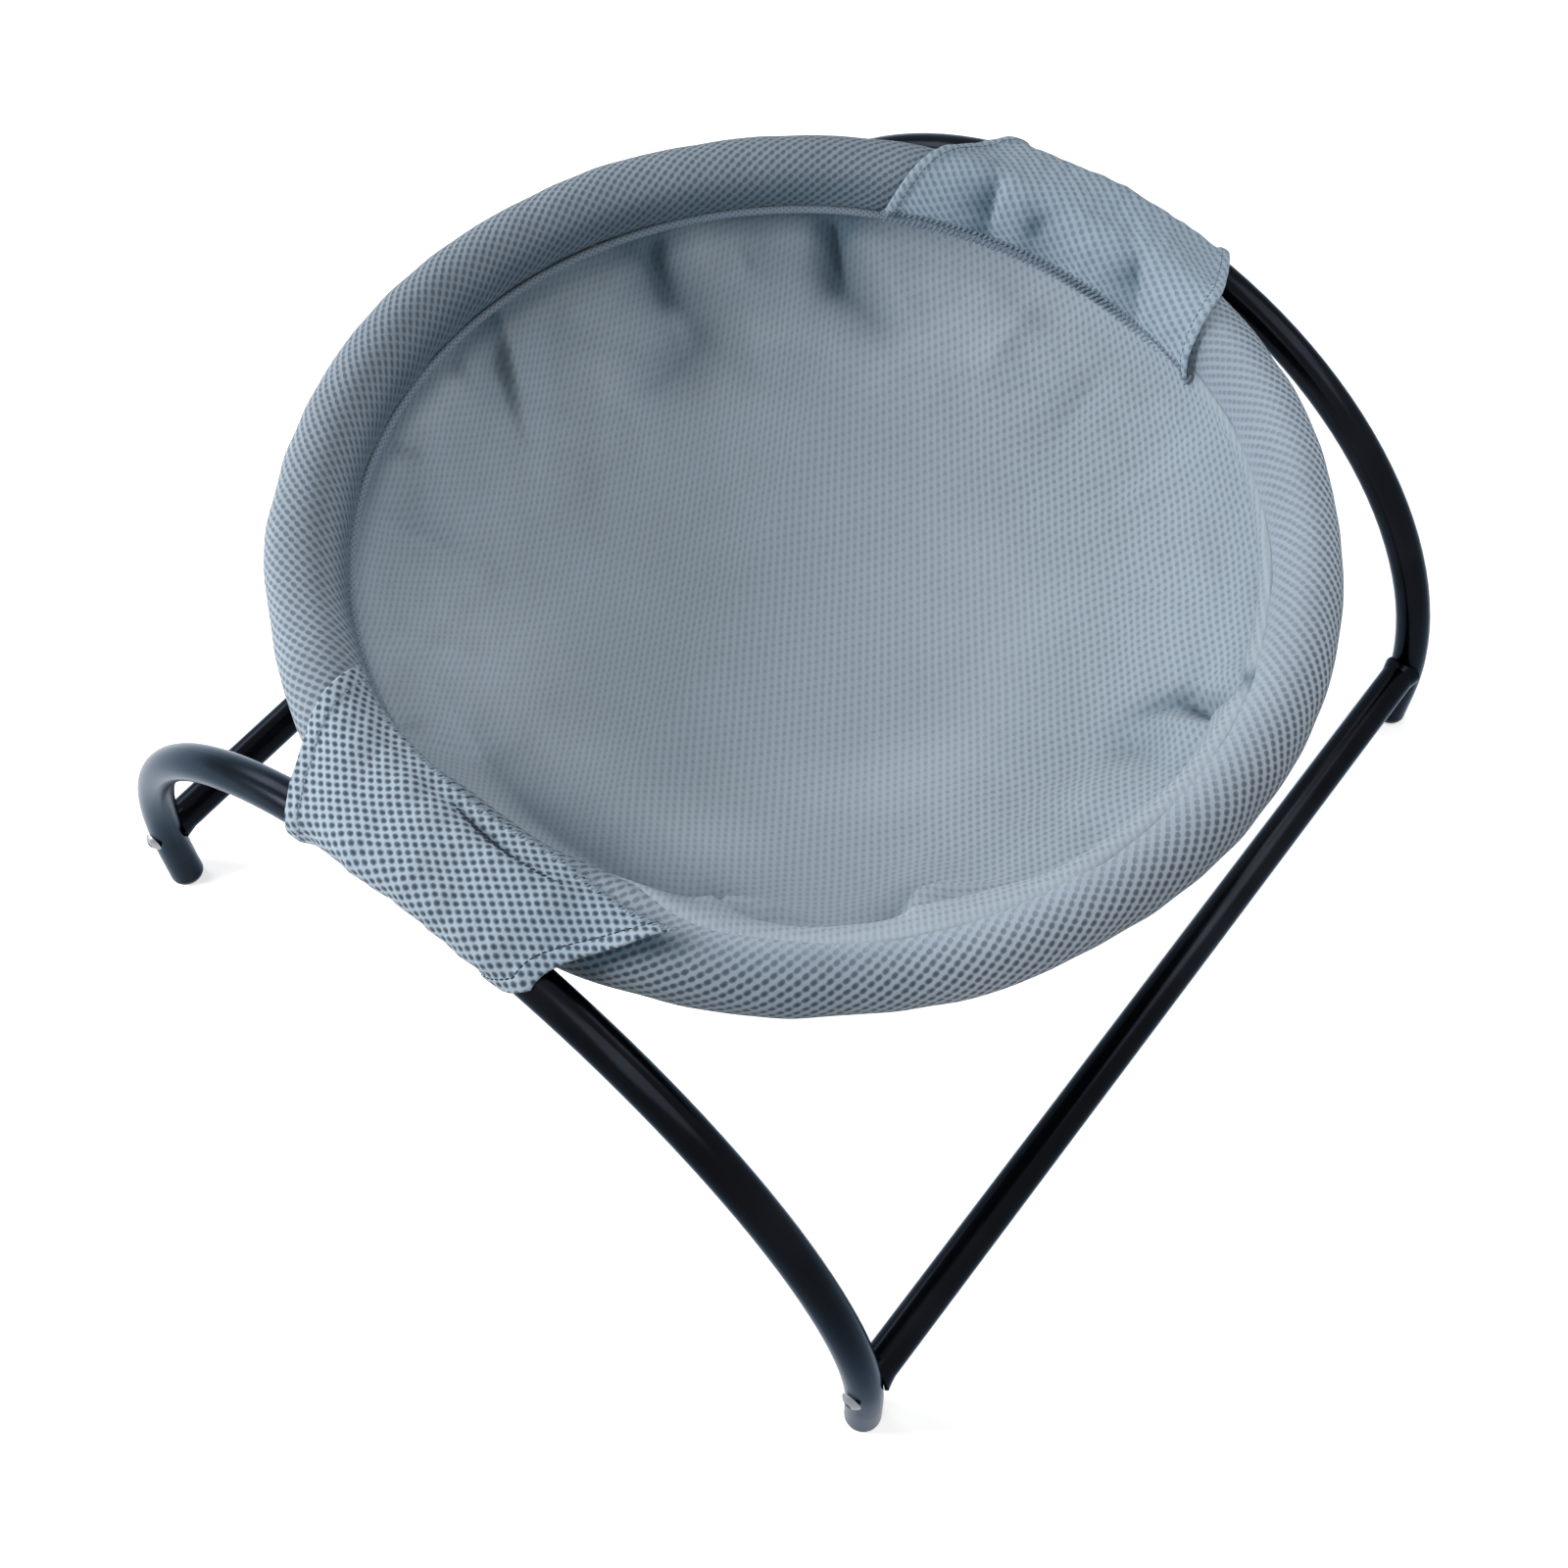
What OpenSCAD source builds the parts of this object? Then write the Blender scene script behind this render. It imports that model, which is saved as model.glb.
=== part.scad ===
// Round pet hammock bed: a padded mesh sling hung between two bent tube arches.
// X runs from the front arch to the rear arch, Y across, Z up, floor at z = 0.

/* [Frame tube] */
// Outside diameter of every frame tube
tube_d = 16; // [12:0.5:20]
// Wall of every frame tube
tube_wall = 1.2; // [0.8:0.1:2]

/* [Arches] */
// Radius of each arch at the tube's centre line
arch_r = 208; // [200:1:240]
// Straight leg of each arch, from its cut end up to the start of the bend
leg_h = 19; // [16:1:40]
// Distance between the arches, centre line to centre line
frame_l = 446; // [440:1:500]

/* [Rails] */
// Height of both rails' centre lines above the floor
rail_h = 44; // [32:1:70]
// Outside diameter of the flared rail ends
flare_d = 18.4; // [17:0.2:22]
// Length over which a rail end flares
flare_l = 6; // [3:0.5:12]
// How far the saddle of a rail end wraps the arch tube
saddle_depth = 3; // [1:0.5:5]

/* [Bolts] */
// Shank diameter of the frame bolts
bolt_d = 5; // [4:0.5:6]
// Length of the frame bolts under the head
bolt_l = 35; // [28:1:45]
// Head diameter of the frame bolts
bolt_head_d = 9.5; // [8:0.5:12]
// Head height of the frame bolts
bolt_head_h = 2.75; // [2:0.25:4]
// Hexagon socket of the frame bolts, across flats
socket_af = 3; // [2:0.5:4]
// Length of the threaded insert in each rail end
insert_l = 20; // [12:1:30]

/* [Foot plugs] */
// Height of the plug head below the tube's cut end
plug_head_h = 3.5; // [2.5:0.5:6]
// Radius of the plug head's lower edge
plug_edge_r = 2.5; // [1:0.5:2.5]
// Length of the plug stem inside the tube
plug_stem_l = 14; // [8:1:16]
// Wall of the hollow plug stem
plug_wall = 1.6; // [1:0.2:2.4]
// Diameter of the small vent in the plug head
plug_vent_d = 2; // [1:0.5:2]

/* [Rim] */
// How far the padded roll's centre lies inside each arch's centre line
rim_inset = 19.6; // [18:0.2:24]
// How far the roll's centre lies below the arches' highest point
rim_drop = 7.5; // [2:0.5:12]
// Radius of the padded roll, over its cover
roll_r = 17; // [14:0.5:20]
// Thickness of the mesh cover
cover_t = 1.2; // [0.8:0.1:2]
// Diameter of the wire hoop inside the foam
hoop_d = 5; // [3:0.5:8]
// Wall of the ferrule that joins the hoop's ends
ferrule_wall = 0.7; // [0.5:0.1:1.5]
// Length of that ferrule
ferrule_l = 26; // [16:1:40]
// Gap between the hoop's two ends inside the ferrule
hoop_gap = 1.8; // [1:0.1:4]

/* [Seat] */
// Depth of the seat below its seam
seat_sag = 76; // [40:1:110]
// Thickness of the seat mesh
seat_t = 1.2; // [0.8:0.1:2]
// Fullness of the bowl: 2 is a plain dish, more is flatter at the bottom
seat_fullness = 2.5; // [1.8:0.1:4]
// Depth of the deepest fold in the seat mesh
fold_depth = 8; // [0:0.5:10]
// Diameter of the piping along the seat seam
piping_d = 3; // [2:0.5:4]

/* [Pockets] */
// Thickness of the pocket mesh
pocket_t = 1.2; // [0.8:0.1:1.8]
// Width of each pocket at the arch's top
pocket_outer_w = 128; // [90:1:160]
// Width of each pocket at its inner seam
pocket_inner_w = 168; // [130:1:190]
// How far the front pocket has slid along its arch
front_slide = 8; // [-15:1:15]
// How far the rear pocket has slid along its arch
rear_slide = -2; // [-15:1:15]
// Width of the folded hem at each open end of a pocket
hem_w = 9; // [5:1:14]
// Extra thickness of that folded hem
hem_extra_t = 0.9; // [0.5:0.1:1.5]
// Angle round the roll at which the front pocket's seam lies
front_seam_deg = 138; // [130:1:195]
// Angle round the roll at which the rear pocket's seam lies
rear_seam_deg = 194; // [130:1:195]
// Diameter of the overlocked seam along each pocket
pocket_seam_d = 2.2; // [1.5:0.1:3]

/* [Clearances] */
// Gap between parts that are pushed or screwed together
fit_gap = 0.15; // [0.1:0.05:0.3]
// Gap between a rail's saddle and its arch, and between foam and cover
seat_gap = 0.2; // [0.1:0.05:0.4]
// Gap between the cloth and what it lies on
cloth_gap = 0.6; // [0.5:0.1:1]

/* [Hidden] */

$fn = 96;
eps = 0.01;

tube_r = tube_d / 2;
bore_r = tube_r - tube_wall;
bend_z = plug_head_h + leg_h;                       // height of the arch's centre
rail_y = sqrt(pow(arch_r, 2) - pow(rail_h - bend_z, 2));
rail_end = frame_l / 2 - tube_r + saddle_depth;     // half of a rail's cut length
insert_face = frame_l / 2 - tube_r - seat_gap - 0.3;
bolt_seat = frame_l / 2 + tube_r + 0.05;            // under a bolt's head

paint = [0.10, 0.11, 0.13];
zinc = [0.78, 0.79, 0.80];
moulding = [0.16, 0.17, 0.19];
foam_white = [0.90, 0.90, 0.88];
mesh_blue = [0.45, 0.53, 0.62];
mesh_light = [0.52, 0.60, 0.68];
thread_dark = [0.20, 0.26, 0.34];

// ---- Frame ----

// One arch as a bar of the given diameter, in its own upright plane
module arch_bar(side, d) {
    translate([side * frame_l / 2, 0, bend_z]) {
        rotate([90, 0, 90]) rotate_extrude(angle = 180) translate([arch_r, 0]) circle(d = d);
        for (across = [-1, 1])
            translate([0, across * arch_r, -leg_h]) cylinder(h = leg_h, d = d);
    }
}

module arch(side) {
    color(paint) difference() {
        arch_bar(side, tube_d);
        arch_bar(side, 2 * bore_r);
        for (across = [-1, 1]) {
            translate([side * frame_l / 2, across * arch_r, plug_head_h - eps])
                cylinder(h = 2 * eps, r = bore_r);
            translate([side * frame_l / 2 - tube_d, across * rail_y, rail_h])
                rotate([0, 90, 0]) cylinder(h = 2 * tube_d, d = bolt_d + 4 * fit_gap);
        }
    }
}

// Straight tube with flared ends, cut to a saddle by the arches it meets
module rail(across) {
    r_flare = flare_d / 2;
    x_flare = rail_end - flare_l;
    color(paint) difference() {
        translate([0, across * rail_y, rail_h]) rotate([0, 90, 0]) rotate_extrude()
            polygon([[r_flare, -rail_end], [tube_r, -x_flare],
                     [tube_r, x_flare], [r_flare, rail_end],
                     [r_flare - tube_wall, rail_end], [bore_r, x_flare],
                     [bore_r, -x_flare], [r_flare - tube_wall, -rail_end]]);
        for (side = [-1, 1]) arch_bar(side, tube_d + 2 * seat_gap);
    }
}

// Puts its children at every corner where a rail meets an arch, pointing inwards along X
module at_corners() {
    for (across = [-1, 1])
        translate([0, across * rail_y, rail_h]) {
            rotate([0, 90, 0]) children();
            rotate([0, -90, 0]) children();
        }
}

// Ribbed plug with a threaded bore, pushed into a rail's end
module rail_inserts() {
    r_body = bore_r - fit_gap;
    r_root = r_body - 0.6;
    rib = insert_l / 5;
    color(zinc) at_corners() translate([0, 0, insert_face - insert_l]) difference() {
        rotate_extrude() polygon([
            [0, 0], [r_root, 0],
            for (k = [0 : 4]) each [[r_root, k * rib + 0.6], [r_body, k * rib + 1],
                                    [r_body, (k + 1) * rib - 0.6], [r_root, (k + 1) * rib - 0.2]],
            [r_root, insert_l], [0, insert_l]]);
        translate([0, 0, -1]) cylinder(h = insert_l + 2, d = bolt_d + 2 * fit_gap);
    }
}

// Button head bolt with a hexagon socket, its head outside the arch
module frame_bolts() {
    socket_depth = bolt_head_h * 0.6;
    head_r = bolt_head_d / 2;
    crown_r = (pow(head_r, 2) + pow(bolt_head_h, 2)) / (2 * bolt_head_h);
    color(zinc) at_corners() difference() {
        union() {
            translate([0, 0, bolt_seat - bolt_l + 1]) cylinder(h = bolt_l - 1, d = bolt_d);
            translate([0, 0, bolt_seat - bolt_l]) cylinder(h = 1, d1 = bolt_d - 1.6, d2 = bolt_d);
            translate([0, 0, bolt_seat]) intersection() {
                cylinder(h = bolt_head_h, d = bolt_head_d);
                translate([0, 0, bolt_head_h - crown_r]) sphere(r = crown_r);
            }
        }
        translate([0, 0, bolt_seat + bolt_head_h - socket_depth])
            cylinder(h = bolt_head_h, d = socket_af / cos(30), $fn = 6);
    }
}

// Hollow plug with a rounded head that closes an arch's leg and meets the floor
module foot_plug() {
    stem_r = bore_r - fit_gap;
    edge_x = tube_r - plug_edge_r;
    difference() {
        rotate_extrude() {
            square([edge_x, plug_head_h]);
            translate([0, plug_edge_r]) square([tube_r, plug_head_h - plug_edge_r]);
            intersection() {
                translate([edge_x, plug_edge_r]) circle(r = plug_edge_r);
                square([tube_r, plug_head_h]);
            }
            translate([0, plug_head_h - eps]) square([stem_r - 0.4, plug_stem_l]);
            for (rib = [1 : 3])
                translate([0, plug_head_h + rib * plug_stem_l / 4]) square([stem_r, 1.2]);
        }
        translate([0, 0, plug_head_h - 1]) cylinder(h = plug_stem_l + 2, r = stem_r - plug_wall);
        translate([tube_r - 2.5, 0, plug_edge_r]) rotate([0, 90, 0])
            cylinder(h = 4, d = plug_vent_d);
    }
}

module foot_plugs() {
    color(moulding) for (side = [-1, 1], across = [-1, 1])
        translate([side * frame_l / 2, across * arch_r, 0])
            rotate([0, 0, atan2(across * 2, side * 2.4)]) foot_plug();
}

// ---- Padded rim ----

rim_r = frame_l / 2 - rim_inset;                    // radius of the rim at the roll's centre
rim_z = bend_z + arch_r - rim_drop;                 // height of the roll's centre
rim_steps = 48;     // facets along the rim
roll_sides = 12;    // facets round the roll
roll_turn = 15;     // first corner of the roll's section

// Point on the arch's centre line that lies nearest to p
function on_arch(p) =
    let (side = p.x < 0 ? -1 : 1,
         reach = norm([p.y, p.z - bend_z]))
    [side * frame_l / 2, p.y / reach * arch_r, bend_z + (p.z - bend_z) / reach * arch_r];

// Point of the roll at distance r from its centre, flattened where the arch presses on it
function roll_point(phi, theta, r) =
    let (core = [rim_r * cos(phi), rim_r * sin(phi), rim_z],
         arm = r * [cos(theta) * cos(phi), cos(theta) * sin(phi), sin(theta)],
         to_arch = on_arch(core) - core,
         n = to_arch / norm(to_arch),
         limit = norm(to_arch) - tube_r - cloth_gap / 2 - (roll_r - r),
         over = max(0, arm * n - limit))
    core + arm - over * n;

// Closed ring of skin, from the grid's own rule; wound so that it faces outwards
module roll_skin(r) {
    points = [for (i = [0 : rim_steps - 1], j = [0 : roll_sides - 1])
        roll_point(i * 360 / rim_steps, roll_turn + j * 360 / roll_sides, r)];
    function at(i, j) = (i % rim_steps) * roll_sides + j % roll_sides;
    faces = [for (i = [0 : rim_steps - 1], j = [0 : roll_sides - 1])
        each [[at(i, j), at(i, j + 1), at(i + 1, j + 1)],
              [at(i, j), at(i + 1, j + 1), at(i + 1, j)]]];
    polyhedron(points, faces);
}

module ring_bar(d, turn = 360) {
    translate([0, 0, rim_z]) rotate_extrude(angle = turn) translate([rim_r, 0]) circle(d = d);
}

ferrule_turn = ferrule_l / rim_r * 180 / PI;   // angle that the ferrule spans
ferrule_d = hoop_d + 2 * fit_gap + 2 * ferrule_wall;

module rim_hoop() {
    gap_turn = hoop_gap / rim_r * 180 / PI;
    color(zinc) rotate([0, 0, 90 + gap_turn / 2]) ring_bar(hoop_d, 360 - gap_turn);
}

module hoop_ferrule() {
    color(zinc) rotate([0, 0, 90 - ferrule_turn / 2]) difference() {
        ring_bar(ferrule_d, ferrule_turn);
        rotate([0, 0, -1]) ring_bar(hoop_d + 2 * fit_gap, ferrule_turn + 2);
    }
}

module foam_roll() {
    color(foam_white) difference() {
        roll_skin(roll_r - cover_t - seat_gap);
        ring_bar(hoop_d + 2 * fit_gap);
        rotate([0, 0, 90 - ferrule_turn / 2 - 0.2])
            ring_bar(ferrule_d + 2 * fit_gap, ferrule_turn + 0.4);
    }
}

module rim_cover() {
    color(mesh_blue) difference() {
        roll_skin(roll_r);
        roll_skin(roll_r - cover_t);
    }
}

// ---- Seat ----

seam_deg = 225;      // where the seat leaves the roll
seat_steps = 72;     // facets round the seat
seat_rings = 14;     // rings of facets from the seam to the middle
seam_r = rim_r + (roll_r + cloth_gap) * cos(seam_deg);
seam_z = rim_z + (roll_r + cloth_gap) * sin(seam_deg);

// Folds of the seat, drawn for a seam radius of 190: [points in plan, shares of fold_depth along
// them, width on the left, width on the right]. A share below 0 is a crease.
plan_r = 190;
folds = [
    [[[103, 160], [86, 148], [77, 129], [71, 112], [58, 94]], [-0.25, -0.75, -1, -0.6, 0], 13, 7],
    [[[96, 128], [82, 106], [70, 88]], [0, 0.4, 0], 12, 12],
    [[[160, 102], [140, 90], [132, 70], [128, 50], [118, 30]], [-0.5, -0.9, -0.5, -0.25, 0], 8, 7],
    [[[122, 116], [112, 104], [100, 88]], [0.3, 0.45, 0], 14, 14],
    [[[14, 187], [7, 176], [-14, 154], [-30, 128], [-40, 105]], [0.1, 0.6, 0.6, 0.4, 0], 18, 5],
    [[[-165, -82], [-151, -84], [-145, -91], [-139, -101], [-129, -117]],
     [0.1, 0.7, 0.75, 0.55, 0], 9, 13],
    [[[-121, -144], [-102, -138], [-89, -145], [-80, -152], [-62, -166]],
     [0.1, 0.8, 0.75, 0.5, 0], 9, 14],
    [[[-98, 158], [-84, 138], [-70, 112]], [-0.4, -0.75, 0], 8, 12],
    [[[-140, 112], [-126, 96], [-104, 78]], [0.25, 0.5, 0], 12, 8],
    [[[-166, 62], [-150, 52], [-124, 44]], [-0.4, -0.6, 0], 7, 10],
    [[[168, -40], [152, -38], [126, -36]], [-0.25, -0.6, 0], 8, 11],
    [[[142, -96], [128, -88], [108, -78]], [0.25, 0.5, 0], 13, 9],
    [[[176, 6], [158, 8], [134, 8]], [0.25, 0.5, 0], 9, 9]];

function sum(list, i = 0) = i < len(list) ? list[i] + sum(list, i + 1) : 0;

// Distance from p to stretch k of fold f, the share of fold_depth there, and the width on that side
function stretch(p, f, k) =
    let (a = f[0][k], ab = f[0][k + 1] - a,
         t = max(0, min(1, (p - a) * ab / (ab * ab))),
         off = p - a - t * ab)
    [norm(off), f[1][k] + t * (f[1][k + 1] - f[1][k]), ab.x * off.y > ab.y * off.x ? f[2] : f[3]];
function nearest(p, f, k = 0) =
    let (here = stretch(p, f, k))
    k == len(f[0]) - 2 ? here : let (next = nearest(p, f, k + 1)) here[0] <= next[0] ? here : next;

// Height of the folds over the plain bowl. They run out before the seam.
function fold_height(phi, s) =
    let (p = plan_r * s * [cos(phi), sin(phi)],
         free = max(0, min(1, (plan_r * (1 - s) - 6) / 12)))
    free * fold_depth * sum([for (f = folds)
        let (near = nearest(p, f)) near[1] * exp(-pow(near[0] / near[2], 1.3))]);

// Height of the bowl at share s of its radius, and its slope there
function bowl_z(s) = seam_z - seat_sag * (1 - pow(s, seat_fullness));
function bowl_slope(s) = seat_sag * seat_fullness * pow(s, seat_fullness - 1) / seam_r;

function seat_point(phi, s, lift) =
    let (slope = bowl_slope(s),
         n = [-slope, 1] / norm([slope, 1]),
         up = lift + fold_height(phi, s),
         r = s * seam_r + n.x * up)
    [r * cos(phi), r * sin(phi), bowl_z(s) + n.y * up];

module seat_panel() {
    shares = [for (k = [0 : seat_rings - 1]) 1 - k / seat_rings];
    top = [for (s = shares, i = [0 : seat_steps - 1])
        seat_point(i * 360 / seat_steps, s, seat_t / 2)];
    under = [for (s = shares, i = [0 : seat_steps - 1])
        seat_point(i * 360 / seat_steps, s, -seat_t / 2)];
    n = seat_steps * seat_rings;
    hub_top = [0, 0, bowl_z(0) + seat_t / 2];
    hub_under = [0, 0, bowl_z(0) - seat_t / 2];
    function at(k, i) = k * seat_steps + i % seat_steps;
    last = seat_rings - 1;
    faces = [
        for (k = [0 : last - 1], i = [0 : seat_steps - 1])
            each [[at(k, i), at(k + 1, i), at(k + 1, i + 1)],
                  [at(k, i), at(k + 1, i + 1), at(k, i + 1)],
                  [n + at(k, i), n + at(k + 1, i + 1), n + at(k + 1, i)],
                  [n + at(k, i), n + at(k, i + 1), n + at(k + 1, i + 1)]],
        for (i = [0 : seat_steps - 1])
            each [[at(last, i), 2 * n, at(last, i + 1)],
                  [n + at(last, i), n + at(last, i + 1), 2 * n + 1],
                  [at(0, i), at(0, i + 1), n + at(0, i + 1)],
                  [at(0, i), n + at(0, i + 1), n + at(0, i)]]];
    color(mesh_light) polyhedron(concat(top, under, [hub_top, hub_under]), faces);
}

piping_deg = 210;    // where the piping lies against the roll
piping_out = roll_r * cos(180 / roll_sides) + cloth_gap + piping_d / 2;

module seat_piping() {
    color(mesh_light)
        translate([0, 0, rim_z + piping_out * sin(piping_deg)]) rotate_extrude()
            translate([rim_r + piping_out * cos(piping_deg), 0]) circle(d = piping_d);
}

// ---- Pockets ----

pocket_cols = 16;    // facets across a pocket
lower_deg = 242;     // where a pocket's lower edge lies under the roll

// Section of a pocket at angle phi: the arch seen from the roll's centre, and the belt's angles
function arch_offset(phi) =
    let (y = frame_l / 2 * tan(phi))
    [frame_l / 2 / cos(phi) - rim_r, bend_z + sqrt(pow(arch_r, 2) - pow(y, 2)) - rim_z];
function arch_wrap(phi) =
    tube_r / cos(phi) / sqrt(1 - pow(frame_l / 2 * tan(phi) / arch_r, 2)) + cloth_gap;

// Steps of the belt: [circle (0 roll, 1 arch), share of its arc]
belt = concat(
    [for (k = [0 : 6]) [0, k / 6, 0]],
    [for (k = [0 : 6]) [1, k / 6, 1]],
    [for (k = [0 : 5]) [0, k / 5, 2]]);
pocket_rows = len(belt) - 1;
arch_row = 7;        // first row of the belt that lies on the arch

function belt_point(phi, row, out, seam) =
    let (c = arch_offset(phi),
         d = norm(c),
         turn = atan2(c.y, c.x),
         spread = acos((roll_r + cloth_gap - arch_wrap(phi)) / d),
         step = belt[row],
         from = step[2] == 0 ? seam : step[2] == 1 ? turn + spread : turn - spread,
         to = step[2] == 0 ? turn + spread : step[2] == 1 ? turn - spread : lower_deg - 360,
         a = from + (to - from) * step[1],
         r = (step[0] == 0 ? roll_r + cloth_gap : arch_wrap(phi)) + out)
    (step[0] == 0 ? [0, 0] : c) + r * [cos(a), sin(a)];

// Angle of column t (-1 to 1) on a given row: the pocket narrows from its inner seam to the
// arch's top, and a little more on the arch's outer side
function column_deg(t, row, slide) =
    let (inner = asin(pocket_inner_w / 2 / (rim_r - roll_r)),
         outer = atan(pocket_outer_w / frame_l),
         shift = atan(slide / (frame_l / 2)),
         near = min(1.3, row / arch_row))
    t * (inner + (outer - inner) * near) + shift * near;

function pocket_point(side, t, row, out, seam, slide) =
    let (phi = column_deg(t, row, slide),
         p = belt_point(phi, row, out, seam))
    [side * (rim_r + p.x) * cos(phi), (rim_r + p.x) * sin(phi), rim_z + p.y];

module pocket(side, seam, slide) {
    hem = 2 * hem_w / pocket_outer_w;
    step = 0.01;                        // share of the width over which a hem ends
    inner_cols = pocket_cols - 4;
    cols = concat([-1, -1 + hem],
                  [for (k = [0 : inner_cols]) (1 - hem - step) * (2 * k / inner_cols - 1)],
                  [1 - hem, 1]);
    count = len(cols);
    rows = pocket_rows + 1;
    function thick(c) = pocket_t + (c < 2 || c > count - 3 ? hem_extra_t : 0);
    inside = [for (c = [0 : count - 1], row = [0 : pocket_rows])
        pocket_point(side, cols[c], row, 0, seam, slide)];
    outside = [for (c = [0 : count - 1], row = [0 : pocket_rows])
        pocket_point(side, cols[c], row, thick(c), seam, slide)];
    n = count * rows;
    function at(c, row) = c * rows + row;
    faces = [
        for (c = [0 : count - 2], row = [0 : pocket_rows - 1])
            each [[at(c, row), at(c, row + 1), at(c + 1, row + 1)],
                  [at(c, row), at(c + 1, row + 1), at(c + 1, row)],
                  [n + at(c, row), n + at(c + 1, row + 1), n + at(c, row + 1)],
                  [n + at(c, row), n + at(c + 1, row), n + at(c + 1, row + 1)]],
        for (row = [0 : pocket_rows - 1])
            each [[at(0, row), n + at(0, row + 1), at(0, row + 1)],
                  [at(0, row), n + at(0, row), n + at(0, row + 1)],
                  [at(count - 1, row), at(count - 1, row + 1), n + at(count - 1, row + 1)],
                  [at(count - 1, row), n + at(count - 1, row + 1), n + at(count - 1, row)]],
        for (c = [0 : count - 2])
            each [[at(c, 0), at(c + 1, 0), n + at(c + 1, 0)],
                  [at(c, 0), n + at(c + 1, 0), n + at(c, 0)],
                  [at(c, pocket_rows), n + at(c + 1, pocket_rows), at(c + 1, pocket_rows)],
                  [at(c, pocket_rows), n + at(c, pocket_rows), n + at(c + 1, pocket_rows)]]];
    turned = side < 0 ? faces : [for (f = faces) [f[0], f[2], f[1]]];
    color(mesh_blue) polyhedron(concat(inside, outside), turned);
}

// One overlocked seam along a row of a pocket: a cord of stitches on the roll at the angle deg
module overlock(deg, row, slide) {
    out = roll_r + cloth_gap + pocket_seam_d / 2;
    from = column_deg(-1, row, slide);
    translate([0, 0, rim_z + out * sin(deg)]) rotate([0, 0, from])
        rotate_extrude(angle = column_deg(1, row, slide) - from)
            translate([rim_r + out * cos(deg), 0]) circle(d = pocket_seam_d);
}

// The two seams of a pocket, along its upper and its lower edge
module pocket_seams(side, seam, slide) {
    clear = (pocket_seam_d / 2 + 2 * fit_gap) / (roll_r + cloth_gap) * 180 / PI;
    color(thread_dark) mirror([side < 0 ? 1 : 0, 0, 0]) {
        overlock(seam + clear, 0, slide);
        overlock(lower_deg - clear, pocket_rows, slide);
    }
}

arch(-1);  // front_arch
arch(1);  // rear_arch
rail(-1);  // near_rail
rail(1);  // far_rail
rail_inserts();
frame_bolts();
foot_plugs();
rim_hoop();
hoop_ferrule();
foam_roll();
rim_cover();
seat_panel();
seat_piping();
pocket(-1, front_seam_deg, front_slide);  // front_pocket
pocket(1, rear_seam_deg, rear_slide);  // rear_pocket
pocket_seams(-1, front_seam_deg, front_slide);  // front_pocket_seams
pocket_seams(1, rear_seam_deg, rear_slide);  // rear_pocket_seams
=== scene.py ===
from math import acos, asin, atan, atan2, cos, degrees, hypot, pi, radians, sin, sqrt, tan

import bmesh
import bpy
import numpy as np
from mathutils import Matrix, Vector


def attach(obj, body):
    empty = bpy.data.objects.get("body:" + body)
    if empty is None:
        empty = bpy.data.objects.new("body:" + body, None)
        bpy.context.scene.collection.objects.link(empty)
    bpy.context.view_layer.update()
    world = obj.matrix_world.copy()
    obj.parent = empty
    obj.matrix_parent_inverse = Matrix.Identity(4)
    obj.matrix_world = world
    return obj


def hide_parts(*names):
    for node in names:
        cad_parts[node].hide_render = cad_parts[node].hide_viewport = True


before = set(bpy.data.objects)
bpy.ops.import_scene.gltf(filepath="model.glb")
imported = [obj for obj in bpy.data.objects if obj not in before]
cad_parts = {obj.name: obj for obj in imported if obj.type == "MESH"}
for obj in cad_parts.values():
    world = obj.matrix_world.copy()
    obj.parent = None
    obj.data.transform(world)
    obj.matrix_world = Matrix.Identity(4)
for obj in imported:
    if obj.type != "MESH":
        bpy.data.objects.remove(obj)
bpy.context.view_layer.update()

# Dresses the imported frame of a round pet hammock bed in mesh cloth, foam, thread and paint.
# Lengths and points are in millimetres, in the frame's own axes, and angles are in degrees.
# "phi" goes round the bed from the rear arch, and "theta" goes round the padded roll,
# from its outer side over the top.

scene = bpy.context.scene
MM = 0.001

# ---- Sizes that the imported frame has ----

TUBE_R = 8.0
ARCH_X = 223.0
ARCH_R = 208.0
ARCH_Z = 22.5
RIM_R = 203.4
RIM_Z = 223.0
ROLL_R = 17.0
COVER_T = 1.2
SEAM_R = 190.96
SEAM_Z = 210.55
SEAT_SAG = 76.0
SEAT_FULLNESS = 2.5
POCKET_T = 1.2
POCKET_OUTER_W = 128.0
POCKET_INNER_W = 168.0
POCKET_LOWER_DEG = 242.0
POCKET_TAPER = 1.3
CLOTH_GAP = 0.6
PRESS_GAP = 0.3
PRESS_SOFT = 0.8


# ---- Camera ----

CAMERA_PLACE = (-410.79, -319.01, 905.08)
CAMERA_YAW, CAMERA_PITCH, CAMERA_ROLL = 51.24, 57.24, -0.43
LENS, SENSOR, SHIFT_UP = 47.64, 36.0, -0.0625
NEAREST_SEEN, FARTHEST_SEEN = 0.05, 30      # metres


def make_camera():
    """Looks down on the bed from over the corner between the front arch and the near rail."""
    data = bpy.data.cameras.new("camera")
    data.lens, data.sensor_width, data.shift_y = LENS, SENSOR, SHIFT_UP
    data.clip_start, data.clip_end = NEAREST_SEEN, FARTHEST_SEEN
    camera = bpy.data.objects.new("camera", data)
    camera.matrix_world = Matrix.Translation(Vector(CAMERA_PLACE) * MM)
    for turn, axis in ((-CAMERA_YAW, "Z"), (90 - CAMERA_PITCH, "X"), (CAMERA_ROLL, "Z")):
        camera.matrix_world @= Matrix.Rotation(radians(turn), 4, axis)
    scene.collection.objects.link(camera)
    scene.camera = camera


# ---- Arithmetic ----

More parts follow.
